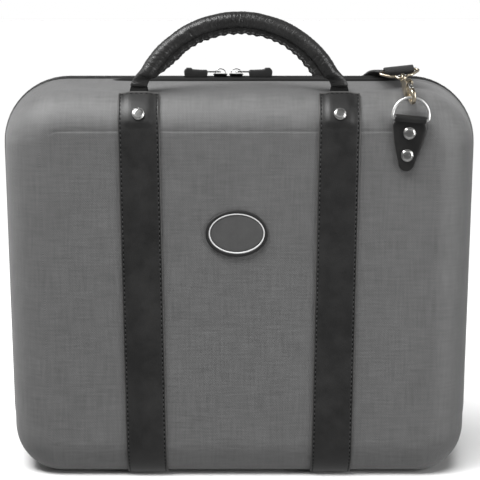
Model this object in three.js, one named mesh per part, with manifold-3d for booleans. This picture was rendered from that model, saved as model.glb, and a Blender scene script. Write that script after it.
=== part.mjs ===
// Insulated bottle bag: two moulded half shells that open like a book on a fabric hinge at the bottom.
// Millimetres, +Z up. The origin is on the bottom face where the halves part, and the front faces -Y.
import * as THREE from 'three';
import { mergeVertices } from 'three/addons/utils/BufferGeometryUtils.js';
import Module from 'manifold-3d';

const wasm = await Module();
wasm.setup();

const { degToRad } = THREE.MathUtils;
const QUARTER = Math.PI / 2;

// Half shell
const SHELL_WIDTH_TOP = 412;
const SHELL_WIDTH_BOTTOM = 399;
const SHELL_HEIGHT = 335;
const SHELL_DEPTH = 88;
const SHELL_WALL = 4;
const ROLL_RADIUS = 30;
const SIDE_DRAFT = degToRad(8);
const TOP_CORNER_RADIUS = 57;
const BOTTOM_CORNER_RADIUS = 44;
const LEAST_CORNER_RADIUS = 6;
const RIM_SETBACK = 0.8;
const CORNER_STEPS = 7;
const ROLL_STEPS = 5;
const CLEARANCE = 0.3;
const CUT_OVERRUN = 2;
const WELD = 1e-4;

// Layers inside each half
const INSULATION_WALL = 6;
const LINER_WALL = 1;
const LAYER_SETBACK = 2.2;
const INSULATION_LEVEL = SHELL_WALL + CLEARANCE;
const LINER_LEVEL = INSULATION_LEVEL + INSULATION_WALL + CLEARANCE;
const BAY_LEVEL = LINER_LEVEL + LINER_WALL + CLEARANCE;
const DIVIDER_WALL = 8;
const DIVIDER_SETBACK = 12;
const DIVIDER_COUNT = 3;
const BAY_SPACING = 92;
const BAND_HEIGHT = 40;
const BAND_WALL = 1.2;
const BAND_MIDDLE_Z = 150;

// Zip and hinge, sewn into a step round the rims
const SEAT_STEP = 1.8;
const SEAT_WIDTH = 16;
const TAPE_WALL = 1.3;
const COIL_HALF_WIDTH = 2.4;
const COIL_SETBACK = 0.2;
const COIL_PROUD = 1.2;
const COIL_DROP = 1.5;
const ZIP_FIRST_STEP = 2;
const HINGE_WALL = 1.5;
const HINGE_HALF_LENGTH = 148;
const FRONT_LEAF_SETBACK = 1.4;
const REAR_LEAF_OVERLAP = 1;

// Leather straps down each face
const STRAP_WIDTH = 34.5;
const STRAP_WALL = 1.8;
const STRAP_X_TOP = 83.3;
const STRAP_X_BOTTOM = 77.6;
const STRAP_TOP_ANGLE = degToRad(25);
const STRAP_BOTTOM_ANGLE = degToRad(21);
const STRAP_STEPS = 6;

// Handles
const HANDLE_RISE = 56.3;
const HANDLE_TOP_Z = SHELL_HEIGHT + HANDLE_RISE;
const HANDLE_TUBE_RADIUS = 7;
const HANDLE_ARC_RADIUS = 87.5;
const HANDLE_WRAP = 1.5;
const HANDLE_PIVOT_RISE = 6.4;
const HANDLE_BASE_HALF_WIDTH = 7.8;
const HANDLE_BASE_HALF_WALL = 2.2;
const HANDLE_TAPER_ANGLE = degToRad(12);
const HANDLE_SEAM = 5;
const HANDLE_SEAM_WALL = 2.6;
const HANDLE_STEPS = 22;
const HANDLE_SIDES = 11;
const HANDLE_TAB_WIDTH = 17;
const HANDLE_TAB_WALL = 1.6;
const HANDLE_TAB_BEND_ANGLE = degToRad(20);
const HANDLE_TAB_BOTTOM_ANGLE = degToRad(76);
const HANDLE_RIVET_ANGLE = degToRad(64);

// Rivets
const RIVET_CAP_RADIUS = 5.3;
const RIVET_CAP_HEIGHT = 2.3;
const RIVET_SHANK_RADIUS = 1.5;
const RIVET_TAIL_RADIUS = 3.6;
const RIVET_TAIL_HEIGHT = 0.9;
const RIVET_SIDES = 12;

// D-rings and their leather tabs
const RING_X_SHARE = 0.68252;
const RING_DROP = 31.2;
const RING_X = (SHELL_WIDTH_TOP / 2) * RING_X_SHARE;
const RING_Z = SHELL_HEIGHT - RING_DROP;
const RING_TILT = degToRad(5);
const RING_WIRE_RADIUS = 1.2;
const RING_HALF_WIDTH = 14.9;
const RING_LEG = 2.9;
const RING_CORNER = 1.6;
const RING_TAB_WALL = 3.4;
const RING_TAB_TOP_WIDTH = 26.2;
const RING_TAB_WIDEST = 29.2;
const RING_TAB_END_WIDTH = 13.6;
const RING_TAB_SHOULDER = 6;
const RING_TAB_LENGTH = 43;
const RING_RIVET_DROPS = [11.5, 29.8];
const FRONT_RING_LEAN = degToRad(-2);
const REAR_RING_LEAN = degToRad(140);

// Snap hooks and the wire loops that join them to the shoulder strap
const HOOK_MOUTH_RADIUS = 4.5;
const HOOK_BAR = 2.6;
const HOOK_WALL = 3.4;
const HOOK_LENGTH = 27.6;
const HOOK_BODY_WIDTH = 8;
const HOOK_BODY_WALL = 6.4;
const HOOK_BODY_START = 8.6;
const HOOK_BODY_END = 20.6;
const HOOK_NECK_WIDTH = 3;
const HOOK_EYE_RADIUS = 2.1;
const HOOK_TIP_ANGLE = degToRad(18);
const HOOK_PLAY = 0.7;
const GATE_WALL = 1.5;
const GATE_ROOT = 2.6;
const GATE_SWING = 1.2;
const GATE_PIN_RADIUS = 0.8;
const FRONT_CHAIN_HEADING = degToRad(103);
const FRONT_CHAIN_RISE = degToRad(28.7);
const REAR_CHAIN_HEADING = degToRad(90);
const REAR_CHAIN_RISE = degToRad(-90);
const LOOP_WIRE_RADIUS = 1.2;
const LOOP_HALF_WIDTH = 16.8;
const LOOP_BAR_HALF_WIDTH = 14.6;
const LOOP_LENGTH = 12.5;
const LOOP_NOTCH = 4.2;
const LOOP_TIP_HALF_WIDTH = 2.5;
const WIRE_SIDES = 8;

// Shoulder strap
const WEB_WIDTH = 25.5;
const WEB_WALL = 2.4;
const WEB_EYE_RADIUS = LOOP_WIRE_RADIUS + CLEARANCE + WEB_WALL;
const WEB_FOLD_LENGTH = 20;
const WEB_STEPS = 60;
const WEB_FOLD_STEPS = 4;
const SLIDE_WALL = 2.2;
const SLIDE_HEIGHT = 16;

// Zip sliders and pullers
const SLIDER_XS = { left: -16.4, right: -2.6 };
const SLIDER_LENGTH = 12.4;
const SLIDER_WIDTH = 9;
const SLIDER_PLATE = 1.7;
const SLIDER_FLANGE = 1.6;
const BRIDGE_HALF_LENGTH = 5;
const BRIDGE_HEIGHT = 4;
const BRIDGE_BAR = 1.2;
const BRIDGE_WIDTH = 2;
const LINK_WIRE_RADIUS = 0.6;
const LINK_HALF_WIDTH = 2.6;
const LINK_LENGTH = 14;
const LINK_SIDES = 6;
const PULL_START = 11;
const PULL_LENGTH = 19.4;
const PULL_WIDTH = 8;
const PULL_WALL = 3.6;
const PULL_NUB_START = 23.7;
const PULL_NUB_LENGTH = 5;
const PULL_NUB_HEIGHT = 1.6;

// Badge
const BADGE_X = -2;
const BADGE_DROP = 126;
const BADGE_Z = SHELL_HEIGHT - BADGE_DROP;
const BADGE_HALF_WIDTH = 26;
const BADGE_HALF_HEIGHT = 19.5;
const BADGE_FIELD_WALL = 1.6;
const BADGE_RIM_WALL = 2.4;
const BADGE_RIM_SHARE = 0.88;

const paint = (color, roughness, metalness = 0) =>
  new THREE.MeshStandardMaterial({ color, roughness, metalness });
const FINISH = {
  shell: paint(0x717173, 0.85),
  foam: paint(0xe9e6dc, 0.95),
  foil: paint(0xc8cacc, 0.35, 0.8),
  divider: paint(0x2f3032, 0.9),
  elastic: paint(0x151515, 0.9),
  tape: paint(0x3c3c3e, 0.9),
  coil: paint(0x242425, 0.5),
  leather: paint(0x2e2e30, 0.5),
  nickel: paint(0xc9c9c6, 0.25, 1),
  champagne: paint(0xb9aa96, 0.3, 1),
  rubber: paint(0x222222, 0.7),
  cord: paint(0x8d8676, 0.95),
  webbing: paint(0x1d1d20, 0.7),
};

// One closed body from rings of points. An open run gets a flat cap at each end.
function solid(rings, loop = false) {
  const count = rings[0].length;
  const faces = [];
  const runs = loop ? rings.length : rings.length - 1;
  for (let i = 0; i < runs; i += 1) {
    const a = i * count;
    const b = ((i + 1) % rings.length) * count;
    for (let j = 0; j < count; j += 1) {
      const k = (j + 1) % count;
      faces.push([a + j, b + j, b + k], [a + j, b + k, a + k]);
    }
  }
  const last = (rings.length - 1) * count;
  for (let j = 1; !loop && j < count - 1; j += 1) {
    faces.push([0, j, j + 1], [last, last + j + 1, last + j]);
  }
  const points = rings.flat();
  const volume = faces.reduce((sum, [a, b, c]) => {
    const normal = new THREE.Vector3().crossVectors(points[b], points[c]);
    return sum + points[a].dot(normal);
  }, 0);
  const outward = volume < 0 ? faces.map(([a, b, c]) => [a, c, b]) : faces;
  const geometry = new THREE.BufferGeometry().setFromPoints(points);
  geometry.setIndex(outward.flat());
  return geometry;
}

function toManifold(geometry) {
  const bare = geometry.clone();
  bare.deleteAttribute('normal');
  bare.deleteAttribute('uv');
  const merged = mergeVertices(bare, WELD);
  return new wasm.Manifold(new wasm.Mesh({
    numProp: 3,
    vertProperties: merged.attributes.position.array,
    triVerts: merged.index.array,
  }));
}

function fromManifold(manifold) {
  const { vertProperties, triVerts } = manifold.getMesh();
  const geometry = new THREE.BufferGeometry();
  geometry.setAttribute('position', new THREE.BufferAttribute(vertProperties, 3));
  geometry.setIndex(new THREE.BufferAttribute(triVerts, 1));
  return geometry;
}

function cut(geometry, ...tools) {
  return fromManifold(tools.reduce((left, tool) => left.subtract(toManifold(tool)), toManifold(geometry)));
}

function join(geometry, ...others) {
  return fromManifold(others.reduce((whole, other) => whole.add(toManifold(other)), toManifold(geometry)));
}

function box(xs, ys, zs) {
  const geometry = new THREE.BoxGeometry(xs[1] - xs[0], ys[1] - ys[0], zs[1] - zs[0]);
  return geometry.translate((xs[0] + xs[1]) / 2, (ys[0] + ys[1]) / 2, (zs[0] + zs[1]) / 2);
}

// A flat shape of [x, z] points, thick along Y and centred on y.
function plate(points, wall, y = 0, holes = []) {
  const shape = new THREE.Shape(points.map(([u, v]) => new THREE.Vector2(u, v)));
  shape.holes = holes.map((hole) => new THREE.Path(hole.map(([u, v]) => new THREE.Vector2(u, v))));
  const geometry = new THREE.ExtrudeGeometry(shape, { depth: wall, bevelEnabled: false });
  return geometry.translate(0, 0, -wall / 2).rotateX(QUARTER).translate(0, y, 0);
}

function rodAlongX(radius, length, sides = WIRE_SIDES) {
  return new THREE.CylinderGeometry(radius, radius, length, sides).rotateZ(QUARTER);
}

// Points of a circle's arc as [x, z] pairs, both ends included.
function arc(x, z, radius, from, to, steps) {
  return Array.from({ length: steps + 1 }, (_, i) => {
    const angle = from + ((to - from) * i) / steps;
    return [x + radius * Math.cos(angle), z + radius * Math.sin(angle)];
  });
}

// A round wire along a closed path of [x, z] points in the plane y = 0.
function wireLoop(points, radius, sides = WIRE_SIDES) {
  const count = points.length;
  const path = points.map(([x, z]) => new THREE.Vector2(x, z));
  const rings = path.map((point, i) => {
    const before = point.clone().sub(path[(i + count - 1) % count]).normalize();
    const after = path[(i + 1) % count].clone().sub(point).normalize();
    const along = before.clone().add(after).normalize();
    const miter = 1 / Math.max(0.7, along.dot(after));
    return Array.from({ length: sides }, (_, k) => {
      const angle = (2 * Math.PI * k) / sides;
      const across = radius * Math.cos(angle) * miter;
      return new THREE.Vector3(
        point.x - along.y * across,
        radius * Math.sin(angle),
        point.y + along.x * across,
      );
    });
  });
  return solid(rings, true);
}

// How far the skin at a level below the outer surface lies inside the rim, at a depth from the parting plane.
function insets(level, depth) {
  const radius = ROLL_RADIUS - level;
  const rollDepth = Math.max(0, depth - (SHELL_DEPTH - ROLL_RADIUS));
  const roll = radius - Math.sqrt(Math.max(0, radius ** 2 - rollDepth ** 2));
  return { base: level + roll, side: level + roll + depth * Math.tan(SIDE_DRAFT) };
}

const SIDE_LEAN = (SHELL_WIDTH_TOP - SHELL_WIDTH_BOTTOM) / 2 / SHELL_HEIGHT;
const LEAN_ANGLE = Math.atan(SIDE_LEAN);
const halfWidthAt = (z) => SHELL_WIDTH_BOTTOM / 2 + SIDE_LEAN * z;

// The rounded outline of one skin at one depth, from the lower right corner round to the lower left one.
function outline(level, depth) {
  const { base, side } = insets(level, depth);
  const corner = (radius, z, from, to) => {
    const x = halfWidthAt(z) - (side + radius) / Math.cos(LEAN_ANGLE);
    return arc(x, z, radius, from, to, CORNER_STEPS);
  };
  const low = Math.max(LEAST_CORNER_RADIUS, BOTTOM_CORNER_RADIUS - (side + base) / 2);
  const high = Math.max(LEAST_CORNER_RADIUS, TOP_CORNER_RADIUS - side);
  const right = [
    ...corner(low, base + low, -QUARTER, -LEAN_ANGLE),
    ...corner(high, SHELL_HEIGHT - side - high, -LEAN_ANGLE, QUARTER),
  ];
  return [...right, ...right.map(([x, z]) => [-x, z]).reverse()];
}

function ringAt(level, depth) {
  return outline(level, depth).map(([x, z]) => new THREE.Vector3(x, -depth, z));
}

const rollAngles = (steps) => Array.from({ length: steps + 1 }, (_, i) => QUARTER * (1 - i / steps));
const rollDepth = (level, angle) =>
  SHELL_DEPTH - ROLL_RADIUS + (ROLL_RADIUS - level) * Math.sin(angle);
const skinRings = (level) => rollAngles(ROLL_STEPS).map((angle) => ringAt(level, rollDepth(level, angle)));

// An open tray: an outer skin from the face to the rim, then back along the inner skin.
function tray(outerLevel, innerLevel, rims) {
  return solid([
    ...skinRings(outerLevel),
    ...rims.map(([level, depth]) => ringAt(level, depth)),
    ...skinRings(innerLevel).reverse(),
  ]);
}

// A point [depth, z] of the skin over the top roll, or under the bottom one. The angle is 0 at the roll's start.
function rollPoint(end, level, angle) {
  const depth = rollDepth(level, angle);
  const { base, side } = insets(level, depth);
  return [depth, end === 'top' ? SHELL_HEIGHT - side : base];
}

// The outer skin's place and outward direction, on the top roll at an angle or on the flat face at a height.
function skinFrame(lift, { angle, z }) {
  if (z !== undefined) {
    return { point: new THREE.Vector3(0, -SHELL_DEPTH - lift, z), out: new THREE.Vector3(0, -1, 0) };
  }
  const [depth, height] = rollPoint('top', 0, angle);
  const [nextDepth, nextHeight] = rollPoint('top', 0, angle + degToRad(1));
  const out = new THREE.Vector3(0, nextHeight - height, nextDepth - depth).normalize();
  const point = new THREE.Vector3(0, -depth, height).addScaledVector(out, lift);
  return { point, out };
}

const strapX = (z) => STRAP_X_BOTTOM + ((STRAP_X_TOP - STRAP_X_BOTTOM) * z) / SHELL_HEIGHT;

// A flat band of leather along stations of [inner, outer] points, each as [depth, z].
function leatherBand(stations, width) {
  return solid(stations.map(([inner, outer]) => {
    const x = strapX(inner[1]);
    return [[-1, inner], [1, inner], [1, outer], [-1, outer]].map(
      ([side, [depth, z]]) => new THREE.Vector3(x + (side * width) / 2, -depth, z),
    );
  }));
}

const bandStation = (end, angle, lift, wall) => [rollPoint(end, -lift, angle), rollPoint(end, -lift - wall, angle)];

const between = (from, to, steps) =>
  Array.from({ length: steps + 1 }, (_, i) => from + ((to - from) * i) / steps);

// Rivet with a domed cap, a shank and a spread tail. Its origin is under the cap and its axis is +Y.
function rivetGeometry(stack, spare = 0) {
  const tailTop = -(stack - RIVET_TAIL_HEIGHT) + spare;
  const tailEnd = spare ? -stack - CUT_OVERRUN : -stack;
  const shank = RIVET_SHANK_RADIUS + spare;
  const tail = RIVET_TAIL_RADIUS + spare;
  const head = spare
    ? [[0, CUT_OVERRUN], [shank, CUT_OVERRUN]]
    : [...arc(0, 0, 1, QUARTER, 0, 3).map(([r, h]) => [r * RIVET_CAP_RADIUS, h * RIVET_CAP_HEIGHT]), [shank, 0]];
  head[0][0] = 0;
  const profile = [...head, [shank, tailTop], [tail, tailTop], [tail, tailEnd], [0, tailEnd]];
  return new THREE.LatheGeometry(profile.map(([r, h]) => new THREE.Vector2(r, h)).reverse(), RIVET_SIDES);
}

// Puts a geometry whose axis is +Y on a place whose outward direction is known.
function seatOn(geometry, point, out) {
  const turn = new THREE.Quaternion().setFromUnitVectors(new THREE.Vector3(0, 1, 0), out);
  return geometry.applyQuaternion(turn).translate(point.x, point.y, point.z);
}

const HANDLE_STACK = HANDLE_TAB_WALL + STRAP_WALL + 2 * CLEARANCE;
const RING_STACK = RING_TAB_WALL + CLEARANCE;

// Where each rivet sits on a half: its place under the cap, its outward direction and what it holds.
function rivetPlaces() {
  const onStrap = [-1, 1].map((side) => {
    const { point, out } = skinFrame(HANDLE_STACK + CLEARANCE, { angle: HANDLE_RIVET_ANGLE });
    point.x = side * strapX(point.z);
    return { point, out, stack: HANDLE_STACK + CLEARANCE + SHELL_WALL };
  });
  const onTab = RING_RIVET_DROPS.map((drop) => {
    const { point, out } = skinFrame(RING_STACK + CLEARANCE, { z: RING_Z - drop * Math.cos(RING_TILT) });
    point.x = RING_X - drop * Math.sin(RING_TILT);
    return { point, out, stack: RING_STACK + CLEARANCE + SHELL_WALL };
  });
  return { left: onStrap[0], right: onStrap[1], upper: onTab[0], lower: onTab[1] };
}

const RIVETS = rivetPlaces();
const rivetAt = ({ point, out, stack }, spare = 0) => seatOn(rivetGeometry(stack, spare), point, out);
const rivetHole = (rivet) => rivetAt(rivet, CLEARANCE);

function mesh(name, geometry, material) {
  geometry.computeVertexNormals();
  const made = new THREE.Mesh(geometry, material.clone());
  made.name = name;
  return made;
}

function shellGeometry() {
  const shell = tray(0, SHELL_WALL, [
    [0, SEAT_WIDTH],
    [SEAT_STEP, SEAT_WIDTH],
    [SEAT_STEP, RIM_SETBACK],
    [SHELL_WALL, RIM_SETBACK],
  ]);
  return cut(shell, ...Object.values(RIVETS).map(rivetHole));
}

const layerGeometry = (outer, wall) =>
  tray(outer, outer + wall, [[outer, LAYER_SETBACK], [outer + wall, LAYER_SETBACK]]);

// A foam wall between two bottles, cut to the lined shell's profile.
function dividerGeometry(x) {
  const top = rollAngles(ROLL_STEPS).map((angle) => rollPoint('top', BAY_LEVEL, angle));
  const bottom = rollAngles(ROLL_STEPS).map((angle) => rollPoint('bottom', BAY_LEVEL, angle));
  const rim = [
    [DIVIDER_SETBACK, insets(BAY_LEVEL, DIVIDER_SETBACK).base],
    [DIVIDER_SETBACK, SHELL_HEIGHT - insets(BAY_LEVEL, DIVIDER_SETBACK).side],
  ];
  const profile = [...bottom, ...rim, ...top.reverse()];
  return solid([-1, 1].map((side) => profile.map(
    ([depth, z]) => new THREE.Vector3(x + (side * DIVIDER_WALL) / 2, -depth, z),
  )));
}

// A flat elastic band across the bays' mouths, just in front of the dividers.
function bottleBandGeometry() {
  const depth = DIVIDER_SETBACK - CLEARANCE;
  const low = BAND_MIDDLE_Z - BAND_HEIGHT / 2;
  const half = halfWidthAt(low) - (insets(BAY_LEVEL, depth).side + CLEARANCE) / Math.cos(LEAN_ANGLE);
  return box([-half, half], [-depth, BAND_WALL - depth], [low, low + BAND_HEIGHT]);
}

// A band sewn round the rim from one lower corner over the top to the other.
function rimBand(outerLevel, innerLevel, nearDepth, farDepth) {
  const corners = [[outerLevel, nearDepth], [outerLevel, farDepth], [innerLevel, farDepth], [innerLevel, nearDepth]];
  const outlines = corners.map(([level, depth]) => ringAt(level, depth));
  const stations = outlines[0].map((_, i) => outlines.map((ring) => ring[i]));
  return solid(stations.slice(ZIP_FIRST_STEP, stations.length - ZIP_FIRST_STEP));
}

const tapeGeometry = () => rimBand(
  SEAT_STEP - CLEARANCE - TAPE_WALL,
  SEAT_STEP - CLEARANCE,
  COIL_SETBACK + COIL_HALF_WIDTH + CLEARANCE,
  SEAT_WIDTH - CLEARANCE,
);
const coilGeometry = () => rimBand(-COIL_PROUD, COIL_DROP, COIL_SETBACK, COIL_SETBACK + COIL_HALF_WIDTH);

function hingeLeafGeometry(nearY) {
  return box([-HINGE_HALF_LENGTH, HINGE_HALF_LENGTH], [CLEARANCE - SEAT_WIDTH, nearY], [0, HINGE_WALL]);
}

function faceStrapGeometry() {
  const raised = HANDLE_TAB_WALL + 2 * CLEARANCE;
  const stations = [
    ...between(STRAP_TOP_ANGLE, HANDLE_TAB_BOTTOM_ANGLE + degToRad(4), STRAP_STEPS).map(
      (angle) => bandStation('top', angle, raised, STRAP_WALL),
    ),
    bandStation('top', QUARTER, CLEARANCE, STRAP_WALL),
    ...between(QUARTER, STRAP_BOTTOM_ANGLE, STRAP_STEPS).map(
      (angle) => bandStation('bottom', angle, CLEARANCE, STRAP_WALL),
    ),
  ];
  return cut(leatherBand(stations, STRAP_WIDTH), rivetHole(RIVETS.right));
}

// Where the handle bends at its foot, as [depth, z]: above the place where its tab leaves the top roll.
const TAB_BEND = rollPoint('top', -CLEARANCE - HANDLE_TAB_WALL / 2, HANDLE_TAB_BEND_ANGLE);
const HANDLE_PIVOT = new THREE.Vector3(0, -TAB_BEND[0], TAB_BEND[1] + HANDLE_PIVOT_RISE);

// The tab lies on the top roll under the face strap and turns up to the handle.
function handleTabGeometry() {
  const half = HANDLE_TAB_WALL / 2;
  const slope = half * Math.tan((QUARTER - HANDLE_TAB_BEND_ANGLE) / 2);
  const [depth, z] = TAB_BEND;
  const top = HANDLE_PIVOT.z - HANDLE_BASE_HALF_WALL - CLEARANCE;
  const stations = [
    [[depth - half, top], [depth + half, top]],
    [[depth - half, z - slope], [depth + half, z + slope]],
    ...between(STRAP_TOP_ANGLE, HANDLE_TAB_BOTTOM_ANGLE, STRAP_STEPS).map(
      (angle) => bandStation('top', angle, CLEARANCE, HANDLE_TAB_WALL),
    ),
  ];
  return cut(leatherBand(stations, HANDLE_TAB_WIDTH), rivetHole(RIVETS.right));
}

const mirrored = (geometry) => {
  const flipped = geometry.clone().scale(-1, 1, 1);
  flipped.index.array.reverse();
  return flipped;
};

// Handle grip: a wrapped tube on a circular arc, flattened to a knuckle where it meets the tabs.
const HANDLE_CENTRE_Z = HANDLE_TOP_Z - HANDLE_TUBE_RADIUS - HANDLE_ARC_RADIUS;
const HANDLE_HALF_SPAN = Math.acos((HANDLE_PIVOT.z - HANDLE_CENTRE_Z) / HANDLE_ARC_RADIUS);
const HANDLE_FOOT_SHIFT = strapX(HANDLE_PIVOT.z) - HANDLE_ARC_RADIUS * Math.sin(HANDLE_HALF_SPAN);

// The wrap's section: an ellipse with a sewn seam standing out of its inner side.
function gripSection(halfWidth, halfWall, seam) {
  const seamHalf = Math.min(HANDLE_SEAM_WALL / 2, halfWall * 0.6);
  const gap = Math.asin(seamHalf / halfWall);
  const round = between(Math.PI - gap, gap - Math.PI, HANDLE_SIDES);
  return [
    ...round.map((angle) => [halfWidth * Math.cos(angle), halfWall * Math.sin(angle)]),
    [-halfWidth - seam, -seamHalf],
    [-halfWidth - seam, seamHalf],
  ];
}

function gripRing(angle, inward) {
  const rest = HANDLE_HALF_SPAN - Math.abs(angle);
  const full = THREE.MathUtils.smoothstep(rest, 0, HANDLE_TAPER_ANGLE);
  const halfWidth = THREE.MathUtils.lerp(HANDLE_BASE_HALF_WIDTH, HANDLE_TUBE_RADIUS, full) - inward;
  const halfWall = THREE.MathUtils.lerp(HANDLE_BASE_HALF_WALL, HANDLE_TUBE_RADIUS, full) - inward;
  const seam = inward ? 0 : HANDLE_SEAM * full;
  const outward = new THREE.Vector3(Math.sin(angle), 0, Math.cos(angle));
  const level = new THREE.Vector3(Math.sign(angle), 0, 0);
  const across = outward.clone().lerp(level, 1 - full).normalize();
  const centre = outward.clone().multiplyScalar(HANDLE_ARC_RADIUS);
  centre.x += Math.sign(angle) * HANDLE_FOOT_SHIFT * (1 - full);
  return gripSection(halfWidth, halfWall, seam).map(([u, v]) => centre.clone()
    .addScaledVector(across, u)
    .add(new THREE.Vector3(0, HANDLE_PIVOT.y + v, HANDLE_CENTRE_Z)));
}

function gripGeometry() {
  const angles = between(-HANDLE_HALF_SPAN, HANDLE_HALF_SPAN, HANDLE_STEPS);
  const drop = (ring) => ring.map(({ x, y, z }) => new THREE.Vector3(x, y, z - HANDLE_BASE_HALF_WALL * 2));
  const bore = angles.map((angle) => gripRing(angle, HANDLE_WRAP));
  const skin = solid(angles.map((angle) => gripRing(angle, 0)));
  const knuckles = [-1, 1].map((side) =>
    rodAlongX(HANDLE_BASE_HALF_WALL, HANDLE_BASE_HALF_WIDTH * 2, 12)
      .translate(side * strapX(HANDLE_PIVOT.z), HANDLE_PIVOT.y, HANDLE_PIVOT.z));
  return cut(
    join(skin, ...knuckles),
    solid([drop(bore[0]), ...bore, drop(bore.at(-1))]),
  );
}

function gripCoreGeometry() {
  const reach = HANDLE_HALF_SPAN - HANDLE_TAPER_ANGLE;
  const radius = HANDLE_TUBE_RADIUS - HANDLE_WRAP - CLEARANCE;
  return solid(between(-reach, reach, HANDLE_STEPS).map((angle) => {
    const outward = new THREE.Vector3(Math.sin(angle), 0, Math.cos(angle));
    return between(0, 2 * Math.PI * (1 - 1 / HANDLE_SIDES), HANDLE_SIDES - 1).map((turn) => outward.clone()
      .multiplyScalar(HANDLE_ARC_RADIUS + radius * Math.cos(turn))
      .add(new THREE.Vector3(0, HANDLE_PIVOT.y + radius * Math.sin(turn), HANDLE_CENTRE_Z)));
  }));
}

// Leather tab folded over the D-ring's bar. Its origin is the bar, and it faces -Y.
const RING_EYE_RADIUS = RING_WIRE_RADIUS + CLEARANCE + RING_TAB_WALL / 2;
const RING_Y = -SHELL_DEPTH - CLEARANCE - RING_EYE_RADIUS;
function ringTabGeometry() {
  const end = RING_TAB_END_WIDTH / 2;
  const taper = [
    [RING_TAB_TOP_WIDTH / 2, RING_EYE_RADIUS],
    [RING_TAB_TOP_WIDTH / 2, -RING_EYE_RADIUS],
    [RING_TAB_WIDEST / 2, -RING_TAB_SHOULDER],
    [end, end - RING_TAB_LENGTH],
  ];
  const tip = arc(0, end - RING_TAB_LENGTH, end, 0, -Math.PI, 6).slice(1, -1);
  const outlinePoints = [...taper, ...tip, ...taper.map(([x, z]) => [-x, z]).reverse()];
  const body = plate(outlinePoints, RING_TAB_WALL, RING_EYE_RADIUS - RING_TAB_WALL / 2);
  const eye = rodAlongX(RING_EYE_RADIUS, RING_TAB_TOP_WIDTH, 12);
  const barHole = rodAlongX(RING_WIRE_RADIUS + CLEARANCE, RING_TAB_WIDEST + CUT_OVERRUN);
  const holes = RING_RIVET_DROPS.map((drop) => new THREE.CylinderGeometry(
    RIVET_SHANK_RADIUS + CLEARANCE,
    RIVET_SHANK_RADIUS + CLEARANCE,
    RING_EYE_RADIUS * 4,
    RIVET_SIDES,
  ).translate(0, 0, -drop));
  const trim = box(
    [-RING_TAB_WIDEST, RING_TAB_WIDEST],
    [-RING_EYE_RADIUS * 2, RING_EYE_RADIUS * 2],
    [-RING_TAB_LENGTH - CUT_OVERRUN, -RING_EYE_RADIUS],
  );
  return cut(join(cut(eye, trim), body), barHole, ...holes);
}

// D-ring with its bar on the X axis and its bow above it.
function ringGeometry() {
  const inner = RING_HALF_WIDTH - RING_CORNER;
  const bow = arc(0, RING_LEG, RING_HALF_WIDTH, 0, Math.PI, 12);
  const right = arc(inner, RING_CORNER, RING_CORNER, -QUARTER, 0, 2);
  const left = arc(-inner, RING_CORNER, RING_CORNER, Math.PI, Math.PI + QUARTER, 2);
  return wireLoop([...right, ...bow, ...left], RING_WIRE_RADIUS);
}
const RING_BOW_HEIGHT = RING_LEG + RING_HALF_WIDTH;

// Snap hook in the plane y = 0: the mouth's centre is the origin and the eye is at [0, HOOK_LENGTH].
const HOOK_OUTER = HOOK_MOUTH_RADIUS + HOOK_BAR;
const GATE_X = HOOK_MOUTH_RADIUS + HOOK_BAR / 2;
const GATE_PIN_Z = HOOK_BODY_START + GATE_ROOT - GATE_PIN_RADIUS;
function hookGeometry() {
  const eyeOuter = HOOK_EYE_RADIUS + HOOK_BAR * 0.8;
  const jaw = plate([
    ...arc(0, 0, HOOK_OUTER, Math.PI, 2 * Math.PI + HOOK_TIP_ANGLE, 10),
    ...arc(0, 0, HOOK_MOUTH_RADIUS, 2 * Math.PI + HOOK_TIP_ANGLE, Math.PI, 10),
  ], HOOK_WALL);
  const spine = plate([
    [-HOOK_OUTER, -CLEARANCE], [-HOOK_MOUTH_RADIUS, -CLEARANCE],
    [-HOOK_MOUTH_RADIUS, HOOK_BODY_START + CLEARANCE], [-HOOK_OUTER, HOOK_BODY_START + CLEARANCE],
  ], HOOK_WALL);
  const half = HOOK_BODY_WIDTH / 2;
  const front = GATE_X + GATE_WALL / 2 + GATE_SWING;
  const shoulder = HOOK_BODY_START + GATE_ROOT * 2;
  const body = plate([
    [-HOOK_OUTER, HOOK_BODY_START], [front, HOOK_BODY_START], [front, shoulder],
    [half, HOOK_BODY_END], [-half, HOOK_BODY_END], [-HOOK_OUTER, shoulder],
  ], HOOK_BODY_WALL);
  const neck = plate([
    [-HOOK_NECK_WIDTH / 2, HOOK_BODY_END - CLEARANCE], [HOOK_NECK_WIDTH / 2, HOOK_BODY_END - CLEARANCE],
    [HOOK_NECK_WIDTH / 2, HOOK_LENGTH - HOOK_EYE_RADIUS - CLEARANCE],
    [-HOOK_NECK_WIDTH / 2, HOOK_LENGTH - HOOK_EYE_RADIUS - CLEARANCE],
  ], HOOK_WALL);
  const turn = 2 * Math.PI * (1 - 1 / RIVET_SIDES);
  const eye = plate(
    arc(0, HOOK_LENGTH, eyeOuter, 0, turn, RIVET_SIDES - 1),
    HOOK_WALL,
    0,
    [arc(0, HOOK_LENGTH, HOOK_EYE_RADIUS, 0, turn, RIVET_SIDES - 1)],
  );
  const slot = box(
    [GATE_X - GATE_WALL / 2 - GATE_SWING, front + CUT_OVERRUN],
    [-HOOK_WALL / 2 - CLEARANCE, HOOK_WALL / 2 + CLEARANCE],
    [HOOK_BODY_START - CUT_OVERRUN, HOOK_BODY_START + GATE_ROOT + CLEARANCE],
  );
  const pinHole = gatePin(GATE_PIN_RADIUS + CLEARANCE, HOOK_BODY_WALL + CUT_OVERRUN);
  return cut(join(jaw, spine, body, neck, eye), slot, pinHole);
}

function gatePin(radius, length) {
  return new THREE.CylinderGeometry(radius, radius, length, RIVET_SIDES).translate(GATE_X, 0, GATE_PIN_Z);
}

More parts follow.
